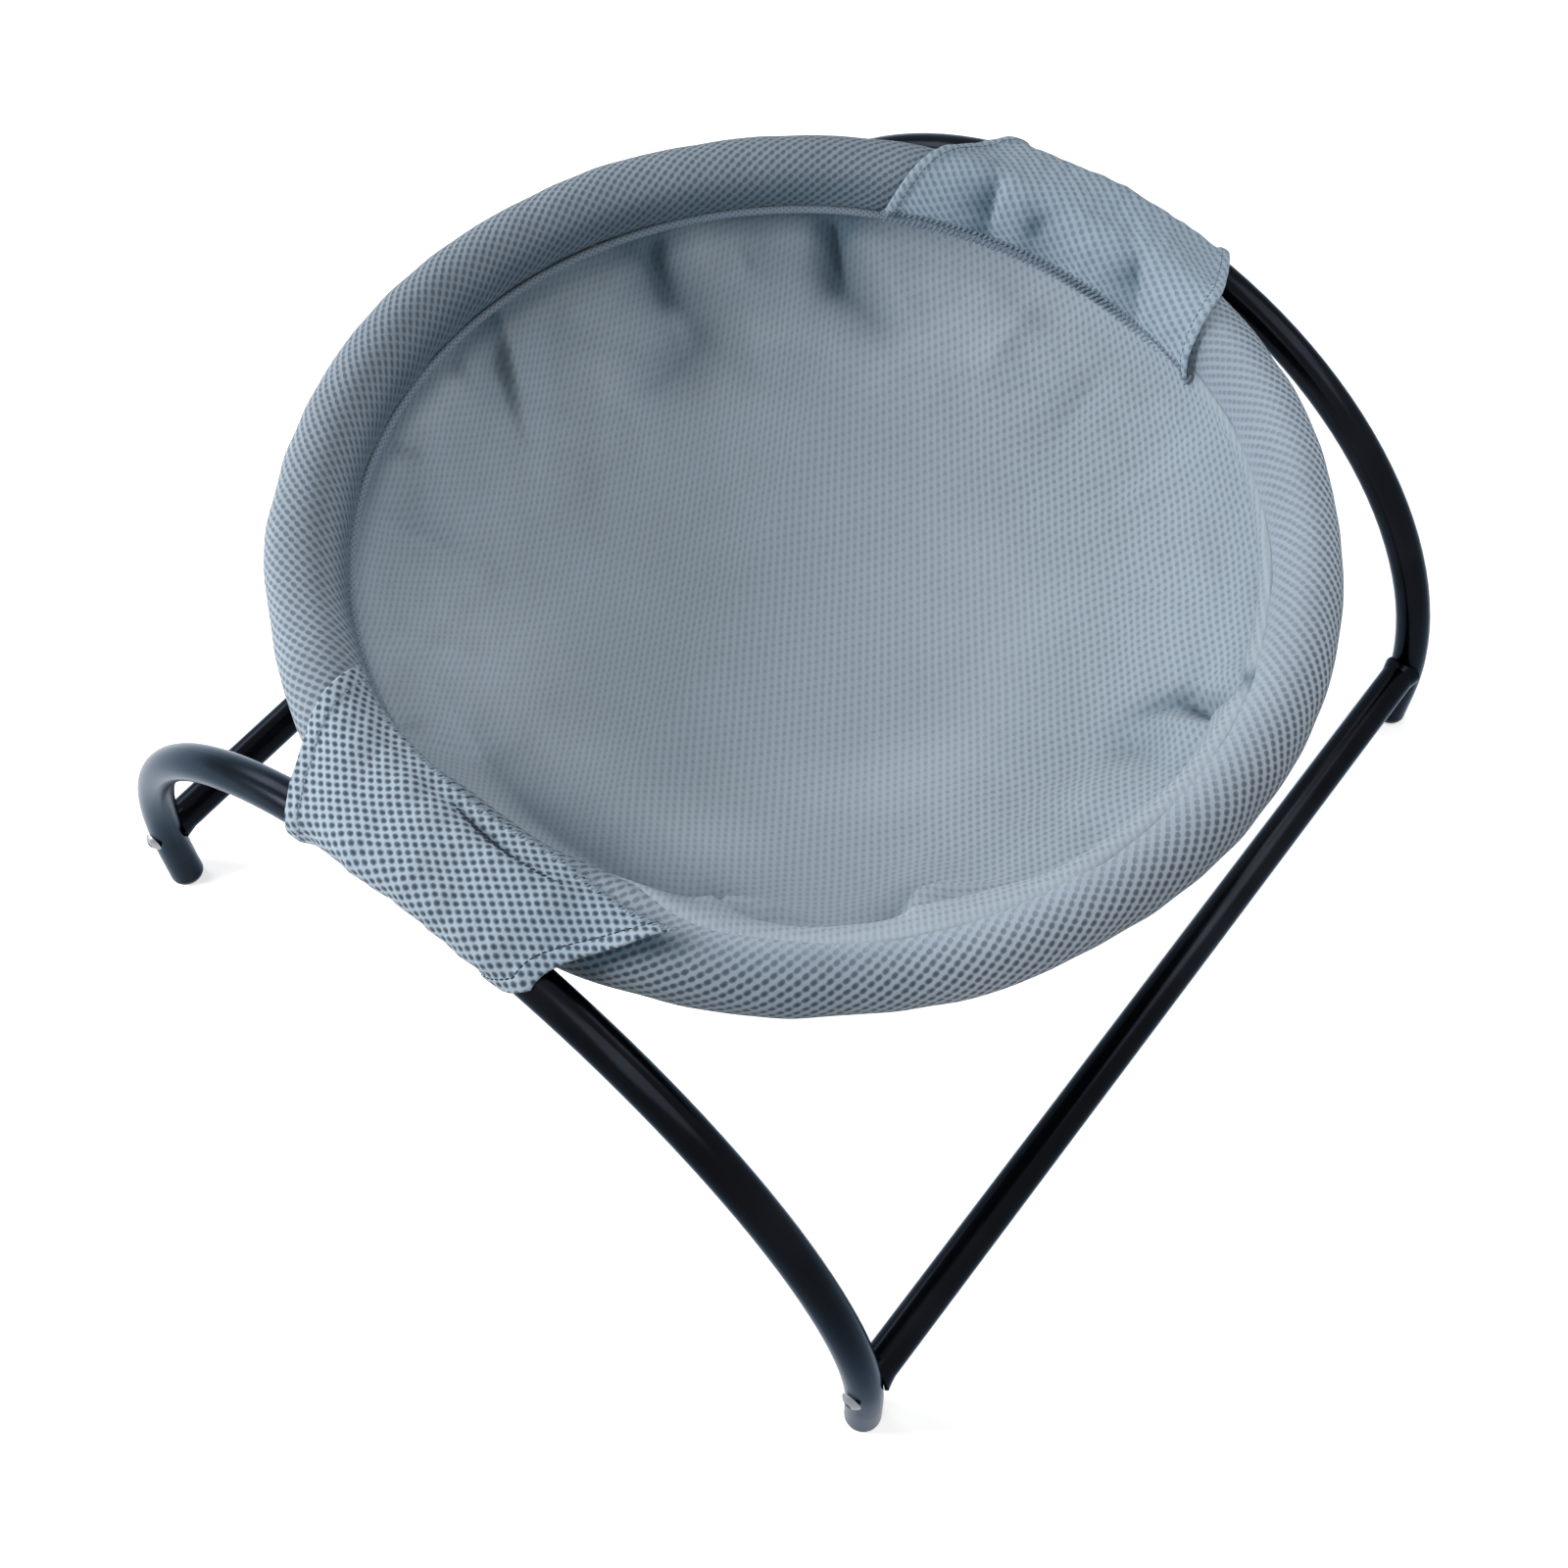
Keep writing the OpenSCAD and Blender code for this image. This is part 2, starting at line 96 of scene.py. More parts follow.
def ramp(x, low, high):
    """Goes smoothly from 0 at low to 1 at high."""
    t = np.clip((x - low) / (high - low), 0, 1)
    return t * t * (3 - 2 * t)


def turn_between(a, b):
    """Signed turn from angle b to angle a."""
    return (np.asarray(a) - b + 180) % 360 - 180


def unit(vectors):
    return vectors / np.maximum(np.linalg.norm(vectors, axis=-1, keepdims=True), 1e-9)


def outward(phi):
    """Level directions away from the middle of the bed."""
    p = np.radians(np.asarray(phi, float))
    return np.stack([np.cos(p), np.sin(p), 0 * p], -1)


UP = np.array([0.0, 0.0, 1.0])
WAVES = 14


def ripples(points, wavelength, seed):
    """Smooth unevenness of about unit height, the same on each run."""
    draws = np.random.default_rng(seed)
    total = np.zeros(points.shape[:-1])
    for _ in range(WAVES):
        direction = draws.normal(size=3)
        direction *= 2 * np.pi / wavelength / np.linalg.norm(direction) / draws.uniform(0.7, 1.5)
        total += np.sin(points @ direction + draws.uniform(0, 2 * np.pi))
    return total / sqrt(WAVES / 2)


def surface_normals(points, closed_along=False, closed_round=False):
    """Normals of a grid of points, along the first index crossed with along the second."""
    steps = []
    for axis, closed in ((0, closed_along), (1, closed_round)):
        if closed:
            steps.append(np.roll(points, -1, axis) - np.roll(points, 1, axis))
        else:
            steps.append(np.gradient(points, axis=axis))
    return unit(np.cross(steps[0], steps[1]))


def on_grid(points, i, j):
    """Points of a grid at fractional places."""
    i, j = np.broadcast_arrays(np.asarray(i, float), np.asarray(j, float))
    n, m = points.shape[:2]
    i0 = np.clip(np.floor(i).astype(int), 0, n - 2)
    j0 = np.clip(np.floor(j).astype(int), 0, m - 2)
    s, t = (i - i0)[..., None], (j - j0)[..., None]
    return ((points[i0, j0] * (1 - s) + points[i0 + 1, j0] * s) * (1 - t)
            + (points[i0, j0 + 1] * (1 - s) + points[i0 + 1, j0 + 1] * s) * t)


def fold(points, path, heights, left, right, sharp=1.3):
    """Height of a fold that runs along a path in plan.

    It falls off over the distance left on the path's left side, and right on its other side.
    """
    path = np.asarray(path, float)
    plan = points[..., :2]
    best = np.full(plan.shape[:-1], 1e9)
    height = np.zeros_like(best)
    for a, b, ha, hb in zip(path, path[1:], heights, heights[1:]):
        step = b - a
        t = np.clip(((plan - a) @ step) / (step @ step), 0, 1)
        off = plan - (a + t[..., None] * step)
        far = np.linalg.norm(off, axis=-1)
        side = step[0] * off[..., 1] - step[1] * off[..., 0]
        width = np.where(side > 0, left, right)
        nearer = far < best
        best = np.where(nearer, far, best)
        height = np.where(nearer, (ha + (hb - ha) * t) * np.exp(-(far / width) ** sharp), height)
    return height


def folds(points, entries, sharp=1.3):
    return sum(fold(points, *entry, sharp=sharp) for entry in entries)


# ---- Meshes ----

def add_piece(name, mesh, material):
    piece = bpy.data.objects.new(name, mesh)
    scene.collection.objects.link(piece)
    mesh.materials.append(material)
    return piece


def build_mesh(name, verts, faces, weave):
    """Mesh from points in millimetres and, for each face, its corners and their flat places."""
    mesh = bpy.data.meshes.new(name)
    mesh.from_pydata((verts * MM).tolist(), [], faces.tolist())
    mesh.uv_layers.new(name="weave").data.foreach_set("uv", weave.astype(np.float32).ravel())
    mesh.shade_smooth()
    return mesh


def ring_grid(n, m, start=0.0):
    """Angles round the bed and round the roll, and places on a grid that closes both ways."""
    i, j = np.meshgrid(np.arange(n + 1), np.arange(m + 1), indexing="ij")
    return np.arange(n)[:, None] * 360 / n, np.arange(m)[None, :] * 360 / m + start, i, j


def quad_corners(n, m, closed_along, closed_round):
    """Places (i, j) of the corners of every quad of a grid, not yet wrapped round."""
    rows = n if closed_along else n - 1
    cols = m if closed_round else m - 1
    i, j = np.meshgrid(np.arange(rows), np.arange(cols), indexing="ij")
    i, j = i.ravel(), j.ravel()
    return np.stack([i, i + 1, i + 1, i], 1), np.stack([j, j, j + 1, j + 1], 1)


def closed_skin(name, points, weave, material):
    """Closed tube of cloth from a grid that wraps round both ways."""
    n, m = points.shape[:2]
    i, j = quad_corners(n, m, True, True)
    mesh = build_mesh(name, points.reshape(-1, 3), (i % n) * m + j % m, weave[i, j])
    return add_piece(name, mesh, material)


def thick_sheet(name, outer, thickness, weave, material, closed_along=False, centre=False):
    """Sheet of cloth with both faces and its edges. With centre, the last column is one point."""
    n, m = outer.shape[:2]
    normals = surface_normals(outer, closed_along)
    if centre:
        normals[:, -1] = normals[:, -2].mean(0)
    inner = outer - normals * thickness
    i, j = quad_corners(n, m, closed_along, False)
    faces = [(i % n) * m + j, ((i % n) * m + j)[:, ::-1] + n * m]
    flats = [weave[i, j], weave[i, j][:, ::-1]]

    k = np.arange(n if closed_along else n - 1)
    borders = [(k + 1, 0 * k, k, 0 * k)]
    if not centre:
        borders.append((k, 0 * k + m - 1, k + 1, 0 * k + m - 1))
    if not closed_along:
        k = np.arange(m - 1)
        borders += [(0 * k, k, 0 * k, k + 1), (0 * k + n - 1, k + 1, 0 * k + n - 1, k)]
    for i0, j0, i1, j1 in borders:
        a, b = (i0 % n) * m + j0, (i1 % n) * m + j1
        faces.append(np.stack([a, b, b + n * m, a + n * m], 1))
        flats.append(np.stack([weave[i0, j0], weave[i1, j1], weave[i1, j1], weave[i0, j0]], 1))
    verts = np.concatenate([outer.reshape(-1, 3), inner.reshape(-1, 3)])
    mesh = build_mesh(name, verts, np.concatenate(faces), np.concatenate(flats))
    if centre:
        work = bmesh.new()
        work.from_mesh(mesh)
        bmesh.ops.remove_doubles(work, verts=work.verts, dist=1e-6)
        work.to_mesh(mesh)
        work.free()
    return add_piece(name, mesh, material)


# At most this much; "shade" is painted shade, and painted highlight where it is negative
MOST = {"fade": 1.0, "shade": 0.62}


def set_looks(piece, **rules):
    """Stores "fade" and "shade" for the cloth's material, by rules on points in millimetres."""
    points = np.array([v.co for v in piece.data.vertices]) / MM
    for name, rule in rules.items():
        values = np.minimum(rule(points) + np.zeros(len(points)), MOST[name])
        piece.data.attributes.new(name, "FLOAT", "POINT").data.foreach_set(
            "value", values.astype(np.float32))


def round_places(points):
    """Angles of points round the bed and round the roll, and their distance from the middle."""
    r = np.hypot(points[:, 0], points[:, 1])
    phi = np.degrees(np.arctan2(points[:, 1], points[:, 0]))
    theta = np.degrees(np.arctan2(points[:, 2] - RIM_Z, r - RIM_R)) % 360
    return phi, theta, r


def spread(phi, middle, full, none):
    """1 within full degrees of the middle, and 0 from none degrees on."""
    return 1 - ramp(np.abs(turn_between(phi, middle)), full, none)


MESH_CLOTH = {"quality": 5, "mass": 0.25, "tension_stiffness": 12, "compression_stiffness": 12,
              "shear_stiffness": 4, "bending_stiffness": 0.4}
SETTLE_FRAMES = 20


def settle(piece, held, pressure, cap):
    """Lets a cloth find its own shape over what fills it, without gravity.

    held says how firmly each point is sewn down. No point moves more than cap.
    """
    start = np.array([v.co for v in piece.data.vertices])
    group = piece.vertex_groups.new(name="held")
    for index, share in enumerate(held):
        if share > 0:
            group.add([index], float(share), "REPLACE")
    cloth = piece.modifiers.new("settle", "CLOTH")
    for name, value in MESH_CLOTH.items():
        setattr(cloth.settings, name, value)
    cloth.settings.vertex_group_mass = "held"
    cloth.settings.use_pressure = True
    cloth.settings.uniform_pressure_force = pressure
    cloth.settings.effector_weights.gravity = 0.0
    cloth.collision_settings.use_collision = False
    cloth.collision_settings.use_self_collision = False
    cloth.point_cache.frame_start, cloth.point_cache.frame_end = 1, SETTLE_FRAMES
    for number in range(1, SETTLE_FRAMES + 1):
        scene.frame_set(number)
    settled = piece.evaluated_get(bpy.context.evaluated_depsgraph_get()).data
    move = np.array([v.co for v in settled.vertices]) - start
    far = np.linalg.norm(move, axis=1, keepdims=True)
    move *= np.minimum(1, cap * MM / np.maximum(far, 1e-9))
    piece.modifiers.remove(cloth)
    scene.frame_set(1)
    piece.data.vertices.foreach_set("co", (start + move).astype(np.float32).ravel())
    piece.data.update()
    piece.vertex_groups.clear()


def smoother(piece):
    """Adds one level of subdivision that keeps the cloth's flat places."""
    finish = piece.modifiers.new("smoother", "SUBSURF")
    finish.levels = finish.render_levels = 1
    finish.uv_smooth = "PRESERVE_BOUNDARIES"


# ---- Shader nodes ----

def paint(r, g, b):
    """Linear colour from the 0 to 255 values of a screen colour."""
    return [((c / 255 + 0.055) / 1.055) ** 2.4 if c > 10 else c / 255 / 12.92
            for c in (r, g, b)] + [1.0]


def fill(tree, socket, value):
    """Links a node's input to a socket, or sets it to a plain value."""
    if isinstance(value, bpy.types.NodeSocket):
        tree.links.new(value, socket)
    elif value is not None:
        socket.default_value = value


def add_node(tree, kind, *values, named=None, out=0, **settings):
    """Adds a node and gives back one of its outputs.

    values go to its inputs in order, and None leaves an input alone. named has inputs by name.
    """
    node = tree.nodes.new(kind)
    for key, value in settings.items():
        setattr(node, key, value)
    for socket, value in zip([s for s in node.inputs if s.enabled], values):
        fill(tree, socket, value)
    for name, value in (named or {}).items():
        fill(tree, node.inputs[name], value)
    return [s for s in node.outputs if s.enabled][out]


class Shader:
    """Builds one material's node tree."""

    def __init__(self, name):
        self.material = bpy.data.materials.new(name)
        self.material.use_nodes = True
        self.tree = self.material.node_tree
        self.surface = self.tree.nodes["Principled BSDF"]

    def add(self, kind, *values, **rest):
        return add_node(self.tree, kind, *values, **rest)

    def math(self, operation, *values):
        return self.add("ShaderNodeMath", *values, operation=operation)

    def vector(self, operation, *values, **named):
        return self.add("ShaderNodeVectorMath", *values, named=named, operation=operation)

    def between(self, value, low, high, to_low=0.0, to_high=1.0, kind="SMOOTHSTEP", clamp=True):
        return self.add("ShaderNodeMapRange", value, low, high, to_low, to_high,
                        interpolation_type=kind, clamp=clamp)

    def line(self, value, low, high, to_low, to_high, clamp=True):
        return self.between(value, low, high, to_low, to_high, "LINEAR", clamp)

    def mix(self, share, a, b, blend="MIX"):
        return self.add("ShaderNodeMix", share, a, b, data_type="RGBA", blend_type=blend)

    def noise(self, where, scale, detail=2.0, out=0):
        return self.add("ShaderNodeTexNoise", where, scale, detail, out=out)

    def attribute(self, name):
        return self.add("ShaderNodeAttribute", attribute_name=name, out=2)

    def object_place(self):
        return self.add("ShaderNodeTexCoord", out=3)

    def clouds(self, scale, detail=2.0):
        return self.noise(self.object_place(), scale, detail)

    def bump(self, height, distance, strength):
        sizes = {"Strength": strength, "Distance": distance * MM, "Height": height}
        self.finish(Normal=self.add("ShaderNodeBump", named=sizes))

    def finish(self, **sockets):
        for name, value in sockets.items():
            fill(self.tree, self.surface.inputs[name.replace("_", " ")], value)
        return self.material


def lattice(shader, flat, rows, shape, slant):
    """Distance to the nearest hole, and the place between rows of the first kind.

    rows are two vectors. Each points across one kind of row of holes, and its length is the
    number of rows per millimetre. shape is how long and how wide a hole is for its radius, and
    slant turns it.
    """
    steps = np.linalg.inv(np.array(rows)).T       # from hole to hole, along the other rows
    offs, places = [], []
    for row, step in zip(rows, steps):
        place = shader.vector("DOT_PRODUCT", flat, (*row, 0))
        off = shader.math("SUBTRACT", place, shader.math("ROUND", place))
        offs.append(shader.vector("SCALE", (*step, 0), Scale=off))
        places.append(place)
    off = shader.add("ShaderNodeVectorRotate", shader.vector("ADD", *offs),
                     named={"Angle": -radians(slant)}, rotation_type="Z_AXIS")
    off = shader.vector("MULTIPLY", off, (1 / shape[0], 1 / shape[1], 1))
    return shader.vector("LENGTH", off), places[0]


# What cloth under painted shade keeps of its red, green and blue, so that painted shade is a little
# bluer
PAINTED_SHADE_FLOORS = (-0.14, 0.0, 0.08)
SHOULDER_END = 1.55     # distance from a hole's middle at which the yarn lies flat again


def mesh_cloth(name, rows, hole_r, light, dark, hole, shape=(1.0, 1.0), slant=0.0, soft=0.5,
               ribs=0.0, depth=0.9):
    """Knitted mesh cloth with rows of holes, laid out on the cloth's own flat places.

    The holes' dark colour is partly the inner layer and partly painted shade inside them, and
    the yarn at their edges is painted darker as shade. The attribute "fade" makes the holes
    paler where the cloth is pulled tight, and on the roll's lit crest it also stands for painted
    highlight. The attribute "shade" is painted shade, and painted highlight where negative.
    """
    shader = Shader(name)
    light, dark, hole = (paint(*colour) for colour in (light, dark, hole))
    flat = shader.add("ShaderNodeUVMap", uv_map="weave")
    drift = shader.vector("SUBTRACT", shader.noise(flat, 0.09, 3.0, out=1), (0.5, 0.5, 0.5))
    flat = shader.vector("ADD", flat, drift)
    far, across = lattice(shader, flat, rows, shape, slant)
    cloudy = shader.clouds(14.0, 3.0)
    fibres = shader.noise(flat, 2.6, 4.0)
    fade, painted_shade_amount = shader.attribute("fade"), shader.attribute("shade")

    def if_tight(level):
        """1 on loose cloth, and level on cloth that is pulled tight."""
        return shader.line(fade, 0.0, 1.0, 1.0, level)

    radius = shader.line(shader.noise(flat, 0.5), 0.25, 0.75, hole_r * 0.85, hole_r * 1.15)
    inside = shader.between(shader.math("SUBTRACT", far, radius), -soft, soft, 1.0, 0.0)
    shoulder = shader.between(far, hole_r * 0.7, SHOULDER_END)
    # painted shade: the yarn is darker towards each hole
    hole_edge_shade = shader.math("MULTIPLY", shader.math("SUBTRACT", 1.0, shoulder), if_tight(0.35))
    colour = shader.mix(hole_edge_shade, light, dark)
    # the holes' dark colour is partly the inner layer and partly painted shade inside them
    colour = shader.mix(shader.math("MULTIPLY", inside, if_tight(0.0)), colour, hole)
    tone = shader.math("ADD", shader.line(cloudy, 0.25, 0.75, 0.93, 1.05),
                       shader.line(fibres, 0.2, 0.8, -0.07, 0.07))
    if ribs:
        wave = shader.math("COSINE", shader.math("MULTIPLY", across, 2 * pi))
        tone = shader.math("SUBTRACT", tone, shader.math("MULTIPLY", wave, ribs))
    # painted shade multiplies the colour, a little bluer; a negative amount is painted highlight
    painted_shade_channels = [shader.math("MULTIPLY", tone, shader.line(painted_shade_amount, 0.0, 1.0, 1.0, floor, clamp=False))
              for floor in PAINTED_SHADE_FLOORS]
    colour = shader.mix(1.0, colour, shader.add("ShaderNodeCombineXYZ", *painted_shade_channels), "MULTIPLY")
    height = shader.math("ADD", shader.math("MULTIPLY", shoulder, if_tight(0.3)),
                         shader.math("MULTIPLY", fibres, 0.16))
    shader.bump(height, depth, 0.8)
    return shader.finish(Base_Color=colour, Roughness=0.9, Sheen_Weight=0.12,
                         Sheen_Roughness=0.45, Specular_IOR_Level=0.2)


def tube_paint():
    """Dark paint with a metal's sheen and a fine grain, a little thin and dusty in places."""
    shader = Shader("tube_paint")
    grain = shader.clouds(900.0, 3.0)
    cloudy = shader.clouds(9.0, 3.0)
    colour = shader.mix(shader.between(cloudy, 0.45, 0.75), paint(17, 19, 23), paint(30, 33, 38))
    rough = shader.math("ADD", shader.line(cloudy, 0.3, 0.7, 0.16, 0.24),
                        shader.math("MULTIPLY", grain, 0.05))
    shader.bump(grain, 0.02, 0.5)
    return shader.finish(Base_Color=colour, Roughness=rough, Metallic=1.0,
                         Specular_Tint=(0.6, 0.66, 0.74, 1.0))


def zinc_plate():
    shader = Shader("zinc_plate")
    cloudy = shader.clouds(60.0, 4.0)
    scratches = shader.clouds(700.0)
    colour = shader.mix(cloudy, paint(118, 122, 130), paint(160, 163, 168))
    shader.bump(scratches, 0.02, 0.4)
    return shader.finish(Base_Color=colour, Metallic=1.0,
                         Roughness=shader.line(cloudy, 0.3, 0.7, 0.26, 0.42))


def moulded_plastic():
    shader = Shader("moulded_plastic")
    scuffs = shader.clouds(120.0, 4.0)
    colour = shader.mix(shader.between(scuffs, 0.5, 0.8), paint(30, 32, 37), paint(58, 61, 67))
    shader.bump(shader.clouds(1500.0), 0.05, 0.6)
    return shader.finish(Base_Color=colour, Roughness=0.5, Specular_IOR_Level=0.4)


def foam_skin():
    shader = Shader("foam_skin")
    cloudy = shader.clouds(30.0, 3.0)
    colour = shader.mix(cloudy, paint(222, 222, 216), paint(238, 237, 231))
    shader.bump(shader.add("ShaderNodeTexVoronoi", shader.object_place(), 420.0), 0.25, 0.7)
    return shader.finish(Base_Color=colour, Roughness=0.95, Specular_IOR_Level=0.2)


def twisted_thread(name, light, dark):
    shader = Shader(name)
    light, dark = paint(*light), paint(*dark)
    plies = shader.clouds(1400.0, 3.0)
    cloudy = shader.clouds(90.0)
    colour = shader.mix(shader.between(plies, 0.3, 0.7), dark, light)
    colour = shader.mix(shader.math("MULTIPLY", cloudy, 0.35), colour, dark)
    shader.bump(plies, 0.15, 0.8)
    return shader.finish(Base_Color=colour, Roughness=0.8, Sheen_Weight=0.1,
                         Sheen_Roughness=0.4, Specular_IOR_Level=0.25)


# ---- Stitches ----

STITCH_SIZES = ("Pitch", "Length", "Thickness", "Height", "Slant", "Unevenness")
THREAD_SIDES = 6
LOOP_STEPS = 6
SUNK = 0.6              # how far a stitch's ends go into the cloth, for its thickness
STITCH_SEED = 7
STITCH_UNEVEN_DEG = 4.0


def stitch_tree(name, material):
    """Rows of stitches along an edge path that carries the directions "along" and "up"."""
    tree = bpy.data.node_groups.new(name, "GeometryNodeTree")
    face = tree.interface
    face.new_socket("Geometry", in_out="INPUT", socket_type="NodeSocketGeometry")
    sizes = {}
    for label in STITCH_SIZES:
        socket = face.new_socket(label, in_out="INPUT", socket_type="NodeSocketFloat")
        sizes[label] = socket.identifier
    face.new_socket("Geometry", in_out="OUTPUT", socket_type="NodeSocketGeometry")
    given = tree.nodes.new("NodeGroupInput").outputs

    def add(kind, *values, **rest):
        return add_node(tree, kind, *values, **rest)

    def number(operation, a, b):
        return add("ShaderNodeMath", a, b, operation=operation)

    def direction(label):
        return add("GeometryNodeInputNamedAttribute", label, data_type="FLOAT_VECTOR")

    path = add("GeometryNodeMeshToCurve", given["Geometry"])
    places = add("GeometryNodeResampleCurve", mode="LENGTH",
                 named={"Curve": path, "Length": given["Pitch"]})
    half = number("MULTIPLY", given["Length"], 0.5)
    low = number("MULTIPLY", given["Thickness"], -SUNK)
    start, end = (add("ShaderNodeCombineXYZ", number("MULTIPLY", half, sign), None, low)
                  for sign in (-1.0, 1.0))
    crown = add("ShaderNodeCombineXYZ", None, None, given["Height"])
    loop = add("GeometryNodeCurveQuadraticBezier", LOOP_STEPS, start, crown, end)
    section = add("GeometryNodeCurvePrimitiveCircle", named={
        "Resolution": THREAD_SIDES, "Radius": number("MULTIPLY", given["Thickness"], 0.5)})
    thread = add("GeometryNodeCurveToMesh",
                 named={"Curve": loop, "Profile Curve": section, "Fill Caps": True})
    facing = add("FunctionNodeAxesToRotation", primary_axis="Z", secondary_axis="X",
                 named={"Primary Axis": direction("up"), "Secondary Axis": direction("along")})
    most = given["Unevenness"]
    off = add("FunctionNodeRandomValue", number("MULTIPLY", most, -1.0), most,
              named={"Seed": STITCH_SEED}, data_type="FLOAT")
    lean = add("ShaderNodeCombineXYZ", None, None, number("ADD", given["Slant"], off))
    turned = add("FunctionNodeRotateRotation", facing, add("FunctionNodeEulerToRotation", lean),
                 rotation_space="LOCAL")
    rows = add("GeometryNodeInstanceOnPoints",
               named={"Points": places, "Instance": thread, "Rotation": turned})
    smooth = add("GeometryNodeSetShadeSmooth", add("GeometryNodeRealizeInstances", rows))
    made = add("GeometryNodeSetMaterial", smooth, named={"Material": material})
    tree.links.new(made, tree.nodes.new("NodeGroupOutput").inputs["Geometry"])
    return tree, sizes


def path_mesh(name, runs):
    """Edges along each run of (points, normals), with their directions stored for the stitches."""
    starts = np.cumsum([0] + [len(points) for points, _ in runs]).tolist()
    edges = [(k, k + 1) for start, end in zip(starts, starts[1:]) for k in range(start, end - 1)]
    mesh = bpy.data.meshes.new(name)
    mesh.from_pydata((np.concatenate([points for points, _ in runs]) * MM).tolist(), edges, [])
    along = np.concatenate([unit(np.gradient(points, axis=0)) for points, _ in runs])
    up = np.concatenate([unit(normals) for _, normals in runs])
    for label, values in (("along", along), ("up", up)):
        mesh.attributes.new(label, "FLOAT_VECTOR", "POINT").data.foreach_set(
            "vector", values.astype(np.float32).ravel())
    return mesh


def stitches(name, runs, material, pitch, length, thickness, height, slant):
    """Makes the stitches along some runs into one plain mesh."""
    tree, sockets = stitch_tree(name + "_rows", material)
    piece = bpy.data.objects.new(name, path_mesh(name + "_path", runs))
    scene.collection.objects.link(piece)
    rows = piece.modifiers.new("rows", "NODES")
    rows.node_group = tree
    sizes = [size * MM for size in (pitch, length, thickness, height)]
    sizes += [radians(slant), radians(STITCH_UNEVEN_DEG)]
    for label, size in zip(STITCH_SIZES, sizes):
        rows[sockets[label]] = size
    made = piece.evaluated_get(bpy.context.evaluated_depsgraph_get())
    mesh = bpy.data.meshes.new_from_object(made)
    piece.modifiers.remove(rows)
    piece.data = mesh
    return piece


# ---- Padded rim ----

COVER_SEAM_DEG = 225
RIM_HOLES, RIM_ROWS = 239, 26       # round the bed and round the roll, so that the pattern closes
HOLE_PITCH, ROW_PITCH = 5.35, 4.12
AIR_ROWS = ((1 / HOLE_PITCH, 1 / ROW_PITCH), (-1 / HOLE_PITCH, 1 / ROW_PITCH))


def bulge(phi, theta):
    """How far the roll stands out behind the front pocket's seam."""
    return 6.0 * spread(phi, 188, 10, 32) * spread(theta, 168, 18, 52)


def roll_surface(phi, theta, r):
    """Points of the roll at distance r from its centre, flattened where an arch presses on it."""
    phi, theta, r = np.broadcast_arrays(np.asarray(phi, float), np.asarray(theta, float),
                                        np.asarray(r, float))
    t = np.radians(theta)[..., None]
    core = RIM_R * outward(phi) + RIM_Z * UP
    arm = (r + bulge(phi, theta))[..., None] * (np.cos(t) * outward(phi) + np.sin(t) * UP)
    reach = np.hypot(core[..., 1], core[..., 2] - ARCH_Z)
    arch = np.stack([np.where(core[..., 0] < 0, -ARCH_X, ARCH_X), core[..., 1] / reach * ARCH_R,
                     ARCH_Z + (core[..., 2] - ARCH_Z) / reach * ARCH_R], -1)
    gap = np.linalg.norm(arch - core, axis=-1)
    towards = (arch - core) / gap[..., None]
    limit = gap - TUBE_R - PRESS_GAP - (ROLL_R - r)
    over = (arm * towards).sum(-1) - limit
    over = PRESS_SOFT * np.logaddexp(0, over / PRESS_SOFT)
    return core + arm - over[..., None] * towards


# Where the seat is sewn on: turn round the bed, and angle round the roll
SEAT_EDGE = [(-204, 226), (-184, 196), (-166, 170), (-157, 122), (-150, 102), (-130, 98),
             (-105, 104), (-90, 114), (-75, 134), (-60, 150), (-40, 165), (-20, 186), (0, 208),
             (20, 222), (40, 226), (156, 226)]
EDGE_MIDDLE = -24       # the list's turns are taken round from here, half a turn each way
EDGE_BLUR = (-8, -4, 0, 4, 8)
# Painted shadow on the rim beside the front pocket's lifted hem
HEM_PAINTED_SHADOW = [([(-215, -63), (-207, -68), (-195, -77), (-185, -91)], (0.6, 0.7, 0.65, 0.2), 6, 2.6)]
# Painted shade in patches of the rim, and painted highlight where the amount is negative:
# amount, then middle, full and none of their spread round the roll and round the bed
RIM_PAINTED_PATCHES = [
    (0.3, (-50, 35, 75), (-165, 20, 45)),
    (0.15, (90, 50, 90), (60, 30, 60)),
    (0.2, (50, 30, 60), (-150, 10, 28)),
    (-0.1, (10, 50, 90), (-98, 25, 50)),
    (0.09, (110, 50, 90), (125, 20, 50)),
]


def seat_edge(phi):
    """Angle round the roll at which the seat is sewn on. On the near side it is over the top."""
    turns, angles = zip(*SEAT_EDGE)
    return sum(np.interp(turn_between(phi, EDGE_MIDDLE) + EDGE_MIDDLE + off, turns, angles)
               for off in EDGE_BLUR) / len(EDGE_BLUR)


def rim_fade(points):
    """The holes stay open on the outside and close where the cloth is pulled over the top.
    On the near and right side the paler top is also a painted highlight where the light falls.
    """
    phi, theta, _ = round_places(points)
    tight = ramp(theta, 35, 105) * (1 - ramp(theta, 230, 250))
    base = 0.29 + 0.33 * spread(phi, 85, 60, 100)
    open_share = (1 - base) * (1 - 0.85 * tight * spread(phi, -75, 70, 110))
    return 1 - open_share * (1 - seam_welt(phi, theta))


def seam_welt(phi, theta):
    """Near and right, the two cloths are stretched smooth where they are sewn together."""
    off = np.abs(turn_between(theta, seat_edge(phi)))
    return (1 - ramp(off, 6, 20)) * spread(phi, -80, 55, 85)


